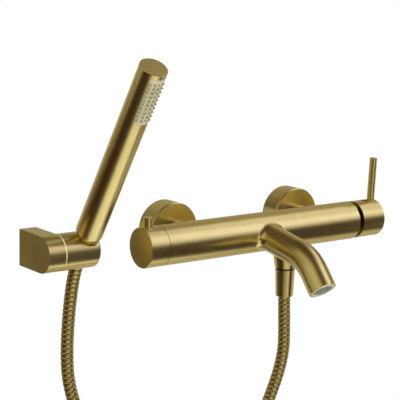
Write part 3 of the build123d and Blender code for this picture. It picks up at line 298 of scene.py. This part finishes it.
@dataclass(frozen=True)
class PlainMetal(Finish):
    """Turned or rolled metal without a brushed finish."""

    roughness: float = 0.25
    swing: float = 0.05
    clouds: float = 300.0
    cloud_detail: float = 3.0

    def sheet(self) -> NodeSheet:
        """Set up the metal, with soft clouds of colour and roughness.

        Returns:
            The sheet of the new material.
        """
        sheet = NodeSheet(self.name)
        sheet.set(Metallic=1.0)
        cloud = sheet.noise(UPWARD, self.clouds, self.clouds, self.cloud_detail)
        sheet.tint(cloud, self.dark, self.light)
        sheet.roughen(cloud, self.roughness, self.swing)
        return sheet

    def make(self) -> bpy.types.Material:
        """Build the material."""
        return self.sheet().material


@dataclass(frozen=True)
class RibbedMetal(PlainMetal):
    """Rolled metal of the hose, with painted shade that deepens from the ribs down to the grooves between them."""

    roughness: float = 0.35
    # Colour of the painted shade at the bottom of the grooves.
    groove: Colour = (0.06, 0.035, 0.008)
    rib_from: float = 0.9

    def make(self) -> bpy.types.Material:
        """Build the material, with shade painted by how near a point is to the crown of its rib.

        Returns:
            The new material.
        """
        sheet = self.sheet()
        # Painted shade: the grooves are coloured darker than the ribs.
        sheet.shade(CROWN, self.groove, self.rib_from)
        return sheet.material


@dataclass(frozen=True)
class Moulded(Finish):
    """Plastic, rubber, fibre or ceramic with a fine moulded grain."""

    roughness: float = 0.5
    swing: float = 0.06
    specular: float = 0.5
    grain: float = 0.0004
    grain_detail: float = 3.0
    relief: float = 0.3
    depth: float = 0.00002
    clouds: float = 120.0
    cloud_detail: float = 2.0

    def make(self) -> bpy.types.Material:
        """Build the material: grain in bump and roughness, and a faint drift of colour.

        Returns:
            The new material.
        """
        sheet = NodeSheet(self.name)
        sheet.set(Metallic=0.0, Specular_IOR_Level=self.specular)
        grain = sheet.noise(UPWARD, 1.0 / self.grain, 1.0 / self.grain, self.grain_detail)
        cloud = sheet.noise(UPWARD, self.clouds, self.clouds, self.cloud_detail)
        sheet.tint(cloud, self.dark, self.light)
        sheet.roughen(grain, self.roughness, self.swing)
        sheet.bump(grain, self.relief, self.depth)
        return sheet.material


def gold(brushing: Brushing) -> BrushedMetal:
    """Brushed brass of the visible pieces, with its lines running the given way."""
    return BrushedMetal("brushed_brass", (0.74, 0.600, 0.192), (0.78, 0.640, 0.218), brushing=brushing)


HOSE_METAL = RibbedMetal("hose_ribs", (0.54, 0.425, 0.120), (0.63, 0.510, 0.165))
BARE_BRASS = PlainMetal("turned_brass", (0.62, 0.47, 0.22), (0.72, 0.57, 0.30))
# Painted shadow: the hose nipple's collar is coloured near black for the shadow in the narrow gap round it.
COLLAR_PAINTED_SHADOW = PlainMetal("dark_collar", (0.030, 0.022, 0.012), (0.050, 0.038, 0.022), roughness=0.45)
STEEL = PlainMetal("bright_steel", (0.50, 0.50, 0.50), (0.62, 0.62, 0.61))
PALE_TRIM = Moulded("pale_trim", (0.62, 0.60, 0.42), (0.70, 0.68, 0.50), roughness=0.35)
# Painted shade: the neck behind each wall flange is coloured near black for the shade round it.
NECK_PAINTED_SHADE = Moulded("dark_neck_plastic", (0.030, 0.019, 0.009), (0.045, 0.030, 0.015))
VALVE_PLASTIC = Moulded("valve_plastic", (0.70, 0.70, 0.68), (0.80, 0.80, 0.78))
VALVE_CERAMIC = Moulded("valve_ceramic", (0.74, 0.72, 0.66), (0.84, 0.82, 0.77), roughness=0.2)
SEAL_RUBBER = Moulded("seal_rubber", (0.010, 0.010, 0.010), (0.020, 0.020, 0.020), roughness=0.6)
GASKET_FIBRE = Moulded("gasket_fibre", (0.22, 0.05, 0.04), (0.30, 0.08, 0.06), roughness=0.8)
SPRAY_CREAM = Moulded("spray_cream", (0.53, 0.49, 0.25), (0.61, 0.56, 0.31), roughness=0.35)
NOZZLE_RUBBER = Moulded("nozzle_rubber", (0.22, 0.21, 0.12), (0.29, 0.28, 0.18), roughness=0.55)
GRID_PLASTIC = Moulded("grid_plastic", (0.27, 0.30, 0.21), (0.35, 0.38, 0.28), roughness=0.45)
TIE_RUBBER = Moulded("tie_rubber", (0.020, 0.019, 0.017), (0.032, 0.030, 0.027), roughness=0.6)

# Nodes with a finish of their own; the others take the finish of their material slot.
NODE_FINISHES: dict[str, Finish] = {
    "mixer_body": gold(Brushing.ROUND_BODY),
    "diverter_knob": gold(Brushing.ROUND_BODY),
    "diverter_pin": gold(Brushing.ROUND_OUTLET),
    "handle_cap": gold(Brushing.ROUND_BODY),
    "handle_lever": gold(Brushing.ROUND_OUTLET),
    "wall_flange_left": gold(Brushing.ROUND_INLET),
    "wall_flange_right": gold(Brushing.ROUND_INLET),
    "hose_nut_mixer": gold(Brushing.ROUND_OUTLET),
    "hose_nipple": COLLAR_PAINTED_SHADOW,
    "hose_nut_handset": gold(Brushing.ROUND_HANDSET),
    "handset_shell": gold(Brushing.ROUND_HANDSET),
    "swivel_holder": gold(Brushing.ROUND_BODY),
    "wall_block": gold(Brushing.ROUND_BODY),
}
SLOT_FINISHES: dict[str, Finish] = {
    "plain_brass": BARE_BRASS,
    "steel": STEEL,
    "dark_ring": NECK_PAINTED_SHADE,
    "valve_plastic": VALVE_PLASTIC,
    "valve_ceramic": VALVE_CERAMIC,
    "seal_rubber": SEAL_RUBBER,
    "gasket_fibre": GASKET_FIBRE,
    "spray_cream": SPRAY_CREAM,
    "nozzle_silicone": NOZZLE_RUBBER,
    "grid_plastic": GRID_PLASTIC,
    "trim_silver": PALE_TRIM,
    "hose_gold": HOSE_METAL,
    "tie_rubber": TIE_RUBBER,
}


@dataclass
class Wardrobe:
    """Makes each finish once and puts it on pieces."""

    made: dict[Finish, bpy.types.Material] = field(default_factory=dict)

    def material(self, finish: Finish) -> bpy.types.Material:
        """Look a finish's material up, and make it the first time.

        Args:
            finish: the finish.

        Returns:
            Its material, the same one each time.
        """
        if finish not in self.made:
            self.made[finish] = finish.make()
        return self.made[finish]

    def dress(self, piece: bpy.types.Object, finish: Finish) -> None:
        """Give a piece one finish all over."""
        piece.data.materials.clear()
        piece.data.materials.append(self.material(finish))

    def dress_nodes(self) -> dict[str, Finish]:
        """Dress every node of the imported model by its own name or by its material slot.

        Returns:
            The finish of each node by the node's name.
        """
        slots = {part["node"]: part["material_slot"] for part in FRAME["record"]["subparts"]}
        finishes = {name: NODE_FINISHES.get(name) or SLOT_FINISHES[slots[name]] for name in NODES}
        for name, finish in finishes.items():
            self.dress(NODES[name], finish)
        return finishes


# ---------------------------------------------------------------- surfaces
def mesh_from_grid(name: str, grid: np.ndarray, wrap: bool, cap: bool) -> bpy.types.Object:
    """Make a smooth mesh object from a grid of points.

    Args:
        name: name of the object.
        grid: points as an array of rows by columns by 3.
        wrap: whether the last row joins the first, as on a ring.
        cap: whether the first and last rows are closed with one face each.

    Returns:
        The new object, linked to the scene, with its columns closed round.
    """
    rows, columns = grid.shape[:2]
    row = np.arange(rows if wrap else rows - 1)[:, None]
    column = np.arange(columns)[None, :]
    next_row, next_column = (row + 1) % rows, (column + 1) % columns
    quads = np.stack(
        [row * columns + column, row * columns + next_column,
         next_row * columns + next_column, next_row * columns + column], axis=-1).reshape(-1, 4)
    faces = quads.tolist()
    if cap:
        faces.append(list(range(columns))[::-1])
        faces.append(list(range((rows - 1) * columns, rows * columns)))
    mesh = bpy.data.meshes.new(name)
    mesh.from_pydata(grid.reshape(-1, 3), [], faces)
    mesh.polygons.foreach_set("use_smooth", np.ones(len(faces), bool))
    mesh.update()
    return add_object(name, mesh)


def nurbs_points(name: str, points: list[Vector | Point], resolution: int) -> np.ndarray:
    """Points along a smooth NURBS spline that has the given control points.

    Args:
        name: name for the passing curve.
        points: control points in metres.
        resolution: steps of the spline from one control point to the next.

    Returns:
        An array of points by 3, in metres.
    """
    curve = bpy.data.curves.new(name, "CURVE")
    curve.dimensions = "3D"
    spline = curve.splines.new("NURBS")
    spline.points.add(len(points) - 1)
    spline.points.foreach_set("co", np.array([(*p, 1.0) for p in points]).ravel())
    spline.order_u = 3
    spline.use_endpoint_u = True
    spline.resolution_u = resolution
    holder = add_object(name, curve)
    bpy.context.view_layer.update()
    mesh = bpy.data.meshes.new_from_object(holder)
    found = np.zeros(len(mesh.vertices) * 3)
    mesh.vertices.foreach_get("co", found)
    bpy.data.objects.remove(holder)
    bpy.data.curves.remove(curve)
    bpy.data.meshes.remove(mesh)
    return found.reshape(-1, 3)


def superellipse(angle: np.ndarray, power: float) -> tuple[np.ndarray, np.ndarray]:
    """Points of a rounded square: cosine and sine to the power 2 / power, with their signs kept."""
    c, s = np.cos(angle), np.sin(angle)
    return np.sign(c) * np.abs(c) ** (2 / power), np.sign(s) * np.abs(s) ** (2 / power)


@dataclass
class Path:
    """A smooth line through space, read by the distance along it."""

    points: np.ndarray
    distance: np.ndarray = field(init=False)
    length: float = field(init=False)
    tangents: np.ndarray = field(init=False)
    sides: np.ndarray = field(init=False)

    def __post_init__(self) -> None:
        """Measure the line, and carry one side direction along it without twist.

        Each side is the one before it less its part along the line, brought back to length one.
        """
        steps = np.diff(self.points, axis=0)
        lengths = np.linalg.norm(steps, axis=1)
        self.distance = np.concatenate([[0.0], np.cumsum(lengths)])
        self.length = float(self.distance[-1])
        tangents = steps / lengths[:, None]
        self.tangents = np.vstack([tangents, tangents[-1]])
        side = np.cross(tangents[0], INTO_WALL)
        sides = []
        for tangent in self.tangents:
            side = side - tangent * (side @ tangent)
            side = side / np.linalg.norm(side)
            sides.append(side)
        self.sides = np.array(sides)

    def read(self, values: np.ndarray, distance: np.ndarray) -> np.ndarray:
        """Interpolate vectors given at the line's points, such as their places, at given distances."""
        return np.stack([np.interp(distance, self.distance, values[:, k]) for k in range(3)], axis=-1)

    def tube(self, distance: np.ndarray, angle: np.ndarray, radius: np.ndarray) -> np.ndarray:
        """Grid of a tube: each point stands radius away from the line, at angle round it.

        Args:
            distance: distance along the line of each row.
            angle: angle of each column.
            radius: radius of each row.

        Returns:
            Points as an array of rows by columns by 3.
        """
        centre = self.read(self.points, distance)
        tangent = self.read(self.tangents, distance)
        side = self.read(self.sides, distance)
        tangent /= np.linalg.norm(tangent, axis=1)[:, None]
        side -= tangent * np.sum(side * tangent, axis=1)[:, None]
        side /= np.linalg.norm(side, axis=1)[:, None]
        other = np.cross(tangent, side)
        ring = np.cos(angle)[None, :, None] * side[:, None] + np.sin(angle)[None, :, None] * other[:, None]
        return centre[:, None] + radius[:, None, None] * ring


# ---------------------------------------------------------------- hose
class Leg(Enum):
    """The two hanging legs of the hose, by the side of the coil that they are on."""

    BRACKET = -1
    MIXER = 1


@dataclass(frozen=True)
class Coil:
    """Spare hose wound side by side in an upright plane, between the two hanging legs."""

    centre: Point = (-0.079, -0.038, -0.240)
    radius: float = 0.0671
    pitch: float = 0.0125
    turns: int = 2
    lean: float = math.radians(18.0)
    points_per_turn: int = 16

    @property
    def sweep(self) -> float:
        """Angle that the hose turns through from one leg's tangent to the other's."""
        return math.tau * self.turns + math.pi - 2 * self.lean

    @property
    def half_width(self) -> float:
        """Half the distance along Y from the first turn to the last."""
        return self.pitch * self.sweep / math.tau / 2

    def tangent(self, leg: Leg, distance: float) -> Vector:
        """Point on the straight line by which a leg leaves the coil.

        Args:
            leg: which leg.
            distance: how far the point is from where the line touches the coil, in metres.

        Returns:
            The point.
        """
        across = self.radius * math.cos(self.lean) + distance * math.sin(self.lean)
        height = -self.radius * math.sin(self.lean) + distance * math.cos(self.lean)
        return Vector(self.centre) + Vector((leg.value * across, -leg.value * self.half_width, height))

    def windings(self) -> list[Vector]:
        """Work out the turns: a helix about Y from the bracket's side to the mixer's.

        Its control points stand a little outside the radius, by the cosine of half their spacing,
        so that the smooth line through them keeps to it.

        Returns:
            The control points of the turns.
        """
        count = round(self.points_per_turn * self.sweep / math.tau)
        swing = self.radius / math.cos(self.sweep / count / 2)
        points = []
        for k in range(1, count):
            share = k / count
            angle = math.pi + self.lean + self.sweep * share
            points.append(Vector(self.centre) + Vector((
                swing * math.cos(angle), self.half_width * (1 - 2 * share), swing * math.sin(angle))))
        return points


@dataclass
class RibbedHose:
    """Metal shower hose: rounded ribs side by side on a tube, from the holder to the mixer.

    The holder's end and the slack's two ends are distances up the hand shower's line from the
    swivel's centre.
    """

    diameter: float = 0.0121
    length: float = 1.5
    groove: float = 0.0009
    rib_pitch: float = 0.0047
    rows_per_rib: int = 6
    columns: int = 22
    fullness: float = 2.6
    smoothness: int = 12
    holder_end: float = -0.0167
    bend: Point = (0.0240, 0.0140, -0.0860)
    tangent_steps: tuple[float, ...] = (0.078, 0.042, 0.012)
    coil: Coil = Coil()
    slack_low: float = -0.0160
    slack_high: float = 0.0010
    slack_ribs: int = 15
    slack_steps: int = 40
    slack_inset: float = 0.0004

    def on_handset(self, distance: float) -> Vector:
        """Point on the line of the hand shower, at a distance up from the swivel's centre."""
        return SWIVEL_CENTRE + ALONG_HANDSET * distance

    def skin(self, name: str, path: Path, ribs: int, inset: float = 0.0) -> bpy.types.Object:
        """Ribbed skin of the hose along a path.

        Across each rib the radius follows a superellipse: with u from -1 to 1 over the rib's width,
        it is the bottom radius plus the groove's depth times (1 - |u|^n)^(1/n). The rows stand
        closer together towards the grooves, where u is the sine of evenly spaced angles.

        Args:
            name: name of the piece.
            path: line that the hose follows.
            ribs: number of ribs on the path.
            inset: how much slimmer the hose is than its full diameter, on the radius.

        Returns:
            The new piece, with its crown attribute.
        """
        row = np.arange(ribs * self.rows_per_rib + 1)
        across = np.sin((row % self.rows_per_rib / self.rows_per_rib - 0.5) * math.pi)
        place = (row // self.rows_per_rib + (across + 1.0) / 2.0) / ribs
        bulge = np.clip(1.0 - np.abs(across) ** self.fullness, 0.0, 1.0) ** (1.0 / self.fullness)
        radius = self.diameter / 2 - inset - self.groove * (1.0 - bulge)
        angle = np.arange(self.columns) / self.columns * math.tau
        piece = mesh_from_grid(name, path.tube(place * path.length, angle, radius), wrap=False, cap=True)
        crown = piece.data.attributes.new(CROWN, "FLOAT", "POINT")
        crown.data.foreach_set("value", np.repeat(bulge, self.columns))
        return piece

    def route(self) -> list[Vector | Point]:
        """Lay the hose out from the holder down to the coil and up to the mixer.

        Returns:
            The control points in metres.
        """
        bracket_leg = [
            self.on_handset(self.holder_end), (-0.1872, -0.0223, -0.0170), (-0.1872, -0.0170, -0.0370),
            (-0.1872, -0.0128, -0.0620), (-0.1872, -0.0103, -0.0920), (-0.1864, -0.0110, -0.1190),
            (-0.1816, -0.0164, -0.1460)]
        into_coil = [self.coil.tangent(Leg.BRACKET, step) for step in self.tangent_steps]
        out_of_coil = [self.coil.tangent(Leg.MIXER, step) for step in reversed(self.tangent_steps)]
        mixer_leg = [
            (0.0220, -0.0598, -0.1460), (0.0276, -0.0646, -0.1140), (0.0268, -0.0650, -0.0860),
            (0.0255, -0.0650, -0.0620), (0.0255, -0.0650, -0.0449)]
        return [*bracket_leg, *into_coil, *self.coil.windings(), *out_of_coil, *mixer_leg]

    def build(self, wardrobe: Wardrobe, tie: bpy.types.Object) -> bpy.types.Object:
        """Build the hose in one piece from the holder to the mixer.

        Args:
            wardrobe: what dresses it.
            tie: the strap on its coil; not used.

        Returns:
            The hose.
        """
        line = nurbs_points("hose_line", self.route(), self.smoothness)
        path = Path(line)
        ribs = round(path.length / self.rib_pitch)
        hose = self.skin("ribbed_hose", path, ribs)
        wardrobe.dress(hose, HOSE_METAL)
        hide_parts("hose_leg_bracket", "hose_leg_mixer", "hose_coil")
        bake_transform(hose)
        LOG.info("hose is %.0f mm long with %d ribs", path.length / MM, ribs)
        return hose

    def build_slack(self, wardrobe: Wardrobe) -> bpy.types.Object:
        """Build the stretch of hose in the holder, which draws out as the hand shower is lifted.

        Args:
            wardrobe: what dresses it.

        Returns:
            The stretch of hose.
        """
        low, high = self.on_handset(self.slack_low), self.on_handset(self.slack_high)
        path = Path(np.linspace(low, high, self.slack_steps))
        slack = self.skin("hose_slack", path, self.slack_ribs, self.slack_inset)
        wardrobe.dress(slack, HOSE_METAL)
        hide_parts("hose_tail")
        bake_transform(slack)
        LOG.info("hose slack is %.0f mm long at rest", path.length / MM)
        return slack


@dataclass
class HoseTie:
    """Soft strap round the bundle of turns at the bottom of the coil."""

    node: str = "hose_tie"
    thickness: float = 0.0013
    ease: float = 0.0005
    rows: int = 96
    columns: int = 24
    line_power: float = 6.0
    section_power: float = 4.0

    def build(self, wardrobe: Wardrobe, hose: RibbedHose) -> bpy.types.Object:
        """Build the strap close round the turns that pass through it.

        Its line is a rounded rectangle, a superellipse in the YZ plane, and its section is a flat
        ellipse with squared ends, a superellipse of a lower power.

        Args:
            wardrobe: what dresses it.
            hose: the hose that it ties.

        Returns:
            The strap.
        """
        low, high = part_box(self.node)
        centre = np.array((low + high) / 2)
        half_width = (high.x - low.x) / 2
        half_height = hose.diameter / 2 + self.ease + self.thickness / 2
        half_depth = hose.coil.pitch * hose.coil.turns / 2 + half_height
        along_y, up = superellipse(np.arange(self.rows) / self.rows * math.tau, self.line_power)
        line = np.stack([np.zeros(self.rows), along_y * half_depth, up * half_height], axis=-1)
        outward = line / np.linalg.norm(line, axis=1)[:, None]
        side, thick = superellipse(np.arange(self.columns) / self.columns * math.tau, self.section_power)
        grid = (centre + line[:, None] + outward[:, None] * thick[None, :, None] * self.thickness / 2
                + np.array(ALONG_BODY) * side[None, :, None] * half_width)
        tie = mesh_from_grid("tie_strap", grid, wrap=True, cap=False)
        wardrobe.dress(tie, TIE_RUBBER)
        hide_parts(self.node)
        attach(tie, "mixer")
        LOG.info("tie strap is %.0f mm wide", 2 * half_width / MM)
        return tie


# ---------------------------------------------------------------- studio
def show_mix(tree: bpy.types.NodeTree, factor: bpy.types.NodeSocket, first: bpy.types.NodeSocket,
             second: bpy.types.NodeSocket) -> None:
    """Give a material's surface a mix of two shaders.

    Args:
        tree: the material's node tree.
        factor: share of the second shader.
        first: the first shader.
        second: the second shader.
    """
    mix = tree.nodes.new("ShaderNodeMixShader")
    for socket, source in zip(mix.inputs, (factor, first, second)):
        tree.links.new(source, socket)
    tree.links.new(mix.outputs["Shader"], tree.nodes["Material Output"].inputs["Surface"])


def background_share(tree: bpy.types.NodeTree) -> bpy.types.NodeSocket:
    """One for rays that show the background: from the camera, by gloss and through glass.

    Args:
        tree: node tree of the world or of a material.

    Returns:
        The socket with the share, which is zero for all other rays.
    """
    rays = tree.nodes.new("ShaderNodeLightPath")
    total = rays.outputs["Is Camera Ray"]
    for name in ("Is Glossy Ray", "Is Transmission Ray"):
        larger = tree.nodes.new("ShaderNodeMath")
        larger.operation = "MAXIMUM"
        tree.links.new(total, larger.inputs[0])
        tree.links.new(rays.outputs[name], larger.inputs[1])
        total = larger.outputs["Value"]
    return total


@dataclass(frozen=True)
class Card:
    """A card of the studio: a glowing patch of a sphere round the object that reflections show.

    Azimuth goes from straight out of the wall towards +X, and elevation upwards. Both are in
    degrees, and so is the width of the card's soft edge. The level is the card's brightness.
    """

    name: str
    azimuth: Span
    elevation: Span
    level: float
    edge: float = 6.0
    steps: int = 33
    warmth: float = 0.018
    red_power: float = 0.93
    blue_power: float = 1.32
    blue_gain: float = 0.3

    def build(self, distance: float) -> None:
        """Hang the card.

        A point of the patch is the distance times the direction with its azimuth and elevation.

        Args:
            distance: how far the card is from the origin, in metres.
        """
        across, up = np.meshgrid(
            np.linspace(*self.azimuth, self.steps), np.linspace(*self.elevation, self.steps))
        azimuth, elevation = np.radians(across), np.radians(up)
        direction = np.stack([np.sin(azimuth) * np.cos(elevation), -np.cos(azimuth) * np.cos(elevation),
                              np.sin(elevation)], axis=-1)
        row, column = np.meshgrid(np.arange(self.steps - 1), np.arange(self.steps - 1), indexing="ij")
        corner = row * self.steps + column
        faces = np.stack([corner, corner + 1, corner + self.steps + 1, corner + self.steps], axis=-1)
        mesh = bpy.data.meshes.new(self.name)
        mesh.from_pydata((direction * distance).reshape(-1, 3), [], faces.reshape(-1, 4).tolist())
        cover = mesh.attributes.new("cover", "FLOAT", "POINT")
        cover.data.foreach_set("value", self.cover(across, up).ravel())
        mesh.materials.append(self.material())
        card = add_object(self.name, mesh)
        card.visible_camera = False
        card.visible_diffuse = False
        card.visible_shadow = False

    def cover(self, across: np.ndarray, up: np.ndarray) -> np.ndarray:
        """How much of the card is there, from 0 at its sides to 1 inside its soft edge.

        It is the least distance to a side over the width of the edge, held to 0..1. A card that
        goes all round has no side edges, and one that reaches a pole has no edge there.

        Args:
            across: azimuth of each point in degrees.
            up: elevation of each point in degrees.

        Returns:
            The cover of each point.
        """
        (left, right), (low, high) = self.azimuth, self.elevation
        from_side = np.minimum(across - left, right - across) * np.cos(np.radians(up))
        if right - left >= 360.0:
            from_side = np.full_like(from_side, self.edge)
        from_low = up - low if low > -90.0 else np.full_like(up, self.edge)
        from_high = high - up if high < 90.0 else np.full_like(up, self.edge)
        nearest = np.minimum(from_side, np.minimum(from_low, from_high))
        return np.clip(nearest / self.edge, 0.0, 1.0)

    def material(self) -> bpy.types.Material:
        """Make the card's glow, let through where the cover is less than one.

        Its green is the level. Its red and blue are powers of it, so that a dark card is warmer
        than a light one.

        Returns:
            The new material.
        """
        material = bpy.data.materials.new(self.name)
        material.use_nodes = True
        tree = material.node_tree
        tree.nodes.remove(tree.nodes["Principled BSDF"])
        red = self.level ** self.red_power + self.warmth
        blue = self.level ** self.blue_power * (1.0 + self.blue_gain * self.level)
        glow = tree.nodes.new("ShaderNodeEmission")
        glow.inputs["Color"].default_value = (red, self.level, blue, 1.0)
        clear = tree.nodes.new("ShaderNodeBsdfTransparent")
        cover = tree.nodes.new("ShaderNodeAttribute")
        cover.attribute_name = "cover"
        show_mix(tree, cover.outputs["Fac"], clear.outputs["BSDF"], glow.outputs["Emission"])
        return material


@dataclass(frozen=True)
class Lamp:
    """A large soft lamp with its width and height in metres and its power in watts.

    It lights the surfaces that scatter light, and polished ones show the cards instead.
    """

    name: str
    place: Point
    target: Point
    width: float
    height: float
    power: float

    def build(self) -> None:
        """Set the lamp up where it stands, turned to face its target."""
        data = bpy.data.lights.new(self.name, "AREA")
        data.shape = "RECTANGLE"
        data.size = self.width
        data.size_y = self.height
        data.energy = self.power
        lamp = add_object(self.name, data)
        lamp.location = self.place
        lamp.rotation_euler = (Vector(self.target) - Vector(self.place)).to_track_quat("-Z", "Y").to_euler()
        lamp.visible_glossy = False


# Each card has its name, azimuth, elevation and level. A later one hangs in front of an earlier one.
STUDIO_CARDS = (
    Card("dark_dome", (-180, 180), (10, 90), 0.05, edge=4.0),
    Card("left_glow", (-130, -28), (-2, 66), 0.60, edge=20.0),
    Card("strip_light", (16, 76), (9, 65), 1.34, edge=15.0),
    Card("strip_tail", (60, 114), (34, 67), 1.05, edge=8.0),
    Card("strip_end", (100, 140), (28, 62), 0.31, edge=8.0),
    Card("rear_right", (112, 200), (-20, 50), 0.36, edge=8.0),
    Card("rear_left", (-200, -150), (-30, 34), 0.52),
    Card("rear_left_low", (-210, -139), (-90, -26), 0.04),
    Card("left_stripe", (-158, -138), (-6, 26), 0.02, edge=4.0),
    Card("right_low", (74, 185), (-64, 14), 0.47),
    Card("front_low", (-60, 22), (-56, 4), 0.72, edge=5.0),
    Card("left_low", (-140, -49), (-62, -3), 0.01),
    Card("front_strip", (-112, -12), (-22, 8), 0.01, edge=5.0),
    Card("right_front", (50, 86), (-30, 10), 0.66, edge=6.0),
    Card("right_dark", (14, 78), (-57, -26), 0.0, edge=4.0),
    Card("right_stripe", (12, 60), (-36, 12), 0.0, edge=4.0),
    Card("left_disc", (-156, -127), (-27, 1), 0.06, edge=4.0),
    Card("floor_right", (60, 200), (-90, -62), 0.30, edge=4.0),
    Card("under_left", (-100, 10), (-84, -58), 1.04, edge=8.0),
    Card("under", (0, 70), (-84, -58), 1.36, edge=5.0),
)
STUDIO_LAMPS = (
    Lamp("over_front", (-0.35, -1.10, 1.00), (-0.02, -0.05, 0.02), width=1.6, height=0.5, power=16.0),
    Lamp("right_side", (1.00, -1.00, 0.25), (-0.10, -0.05, 0.05), width=0.4, height=1.4, power=9.0),
)


@dataclass
class Studio:
    """Camera, white surroundings, pale floor, soft lamps and cards to reflect."""

    camera_place: Point = (-0.8839, -1.1476, 0.3042)
    yaw: float = 0.6394
    pitch: float = 0.1879
    roll: float = 0.02205
    lens: float = 134.835
    sensor: float = 36.0
    seen_white: float = 1.0
    shading_white: float = 0.7
    floor_height: float = -2.6
    floor_size: float = 60.0
    floor_grey: float = 0.86
    floor_roughness: float = 0.9
    card_distance: float = 2.4
    card_spacing: float = 0.01

    def build(self) -> None:
        """Set up everything that isn't part of the object."""
        bpy.context.scene.view_settings.view_transform = "Standard"
        self.build_camera()
        self.build_world()
        self.build_floor()
        for lamp in STUDIO_LAMPS:
            lamp.build()
        for order, card in enumerate(STUDIO_CARDS):
            card.build(self.card_distance - self.card_spacing * order)

    def build_camera(self) -> None:
        """Place the camera by its yaw from +Y towards +X, its downward pitch and its roll."""
        yaw, pitch, roll = self.yaw, self.pitch, self.roll
        look = Vector((math.sin(yaw) * math.cos(pitch), math.cos(yaw) * math.cos(pitch), -math.sin(pitch)))
        level = Vector((math.cos(yaw), -math.sin(yaw), 0.0))
        upright = level.cross(look)
        right = level * math.cos(roll) + upright * math.sin(roll)
        up = upright * math.cos(roll) - level * math.sin(roll)
        data = bpy.data.cameras.new("camera")
        data.sensor_width = self.sensor
        data.lens = self.lens
        camera = add_object("camera", data)
        turn = Matrix((right, up, -look)).transposed().to_4x4()
        camera.matrix_world = Matrix.Translation(self.camera_place) @ turn
        bpy.context.scene.camera = camera

    def build_world(self) -> None:
        """White all round for the camera and for reflections, and a softer fill for shading."""
        world = bpy.data.worlds.new("studio")
        bpy.context.scene.world = world
        world.use_nodes = True
        tree = world.node_tree
        background = tree.nodes["Background"]
        strength = tree.nodes.new("ShaderNodeMapRange")
        strength.inputs["To Min"].default_value = self.shading_white
        strength.inputs["To Max"].default_value = self.seen_white
        tree.links.new(background_share(tree), strength.inputs["Value"])
        tree.links.new(strength.outputs["Result"], background.inputs["Strength"])
        background.inputs["Color"].default_value = (1.0, 1.0, 1.0, 1.0)

    def build_floor(self) -> None:
        """Wide pale floor that shows as plain white and scatters light like pale paint."""
        bpy.ops.mesh.primitive_plane_add(size=self.floor_size, location=(0.0, 0.0, self.floor_height))
        floor = bpy.context.object
        floor.name = "floor"
        material = bpy.data.materials.new("floor_white")
        material.use_nodes = True
        tree = material.node_tree
        matt = tree.nodes["Principled BSDF"]
        matt.inputs["Base Color"].default_value = (self.floor_grey, self.floor_grey, self.floor_grey, 1.0)
        matt.inputs["Roughness"].default_value = self.floor_roughness
        glow = tree.nodes.new("ShaderNodeEmission")
        show_mix(tree, background_share(tree), matt.outputs["BSDF"], glow.outputs["Emission"])
        floor.data.materials.append(material)


def main() -> None:
    """Build the studio and every sub-assembly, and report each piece."""
    Studio().build()
    wardrobe = Wardrobe()
    for name, finish in wardrobe.dress_nodes().items():
        LOG.info("dressed %s in %s", name, finish.name)
    hose = RibbedHose()
    tie = HoseTie().build(wardrobe, hose)
    for piece in (tie, hose.build(wardrobe, tie), hose.build_slack(wardrobe)):
        LOG.info("built %s with %d faces", piece.name, len(piece.data.polygons))


if __name__ == "__main__":
    main()
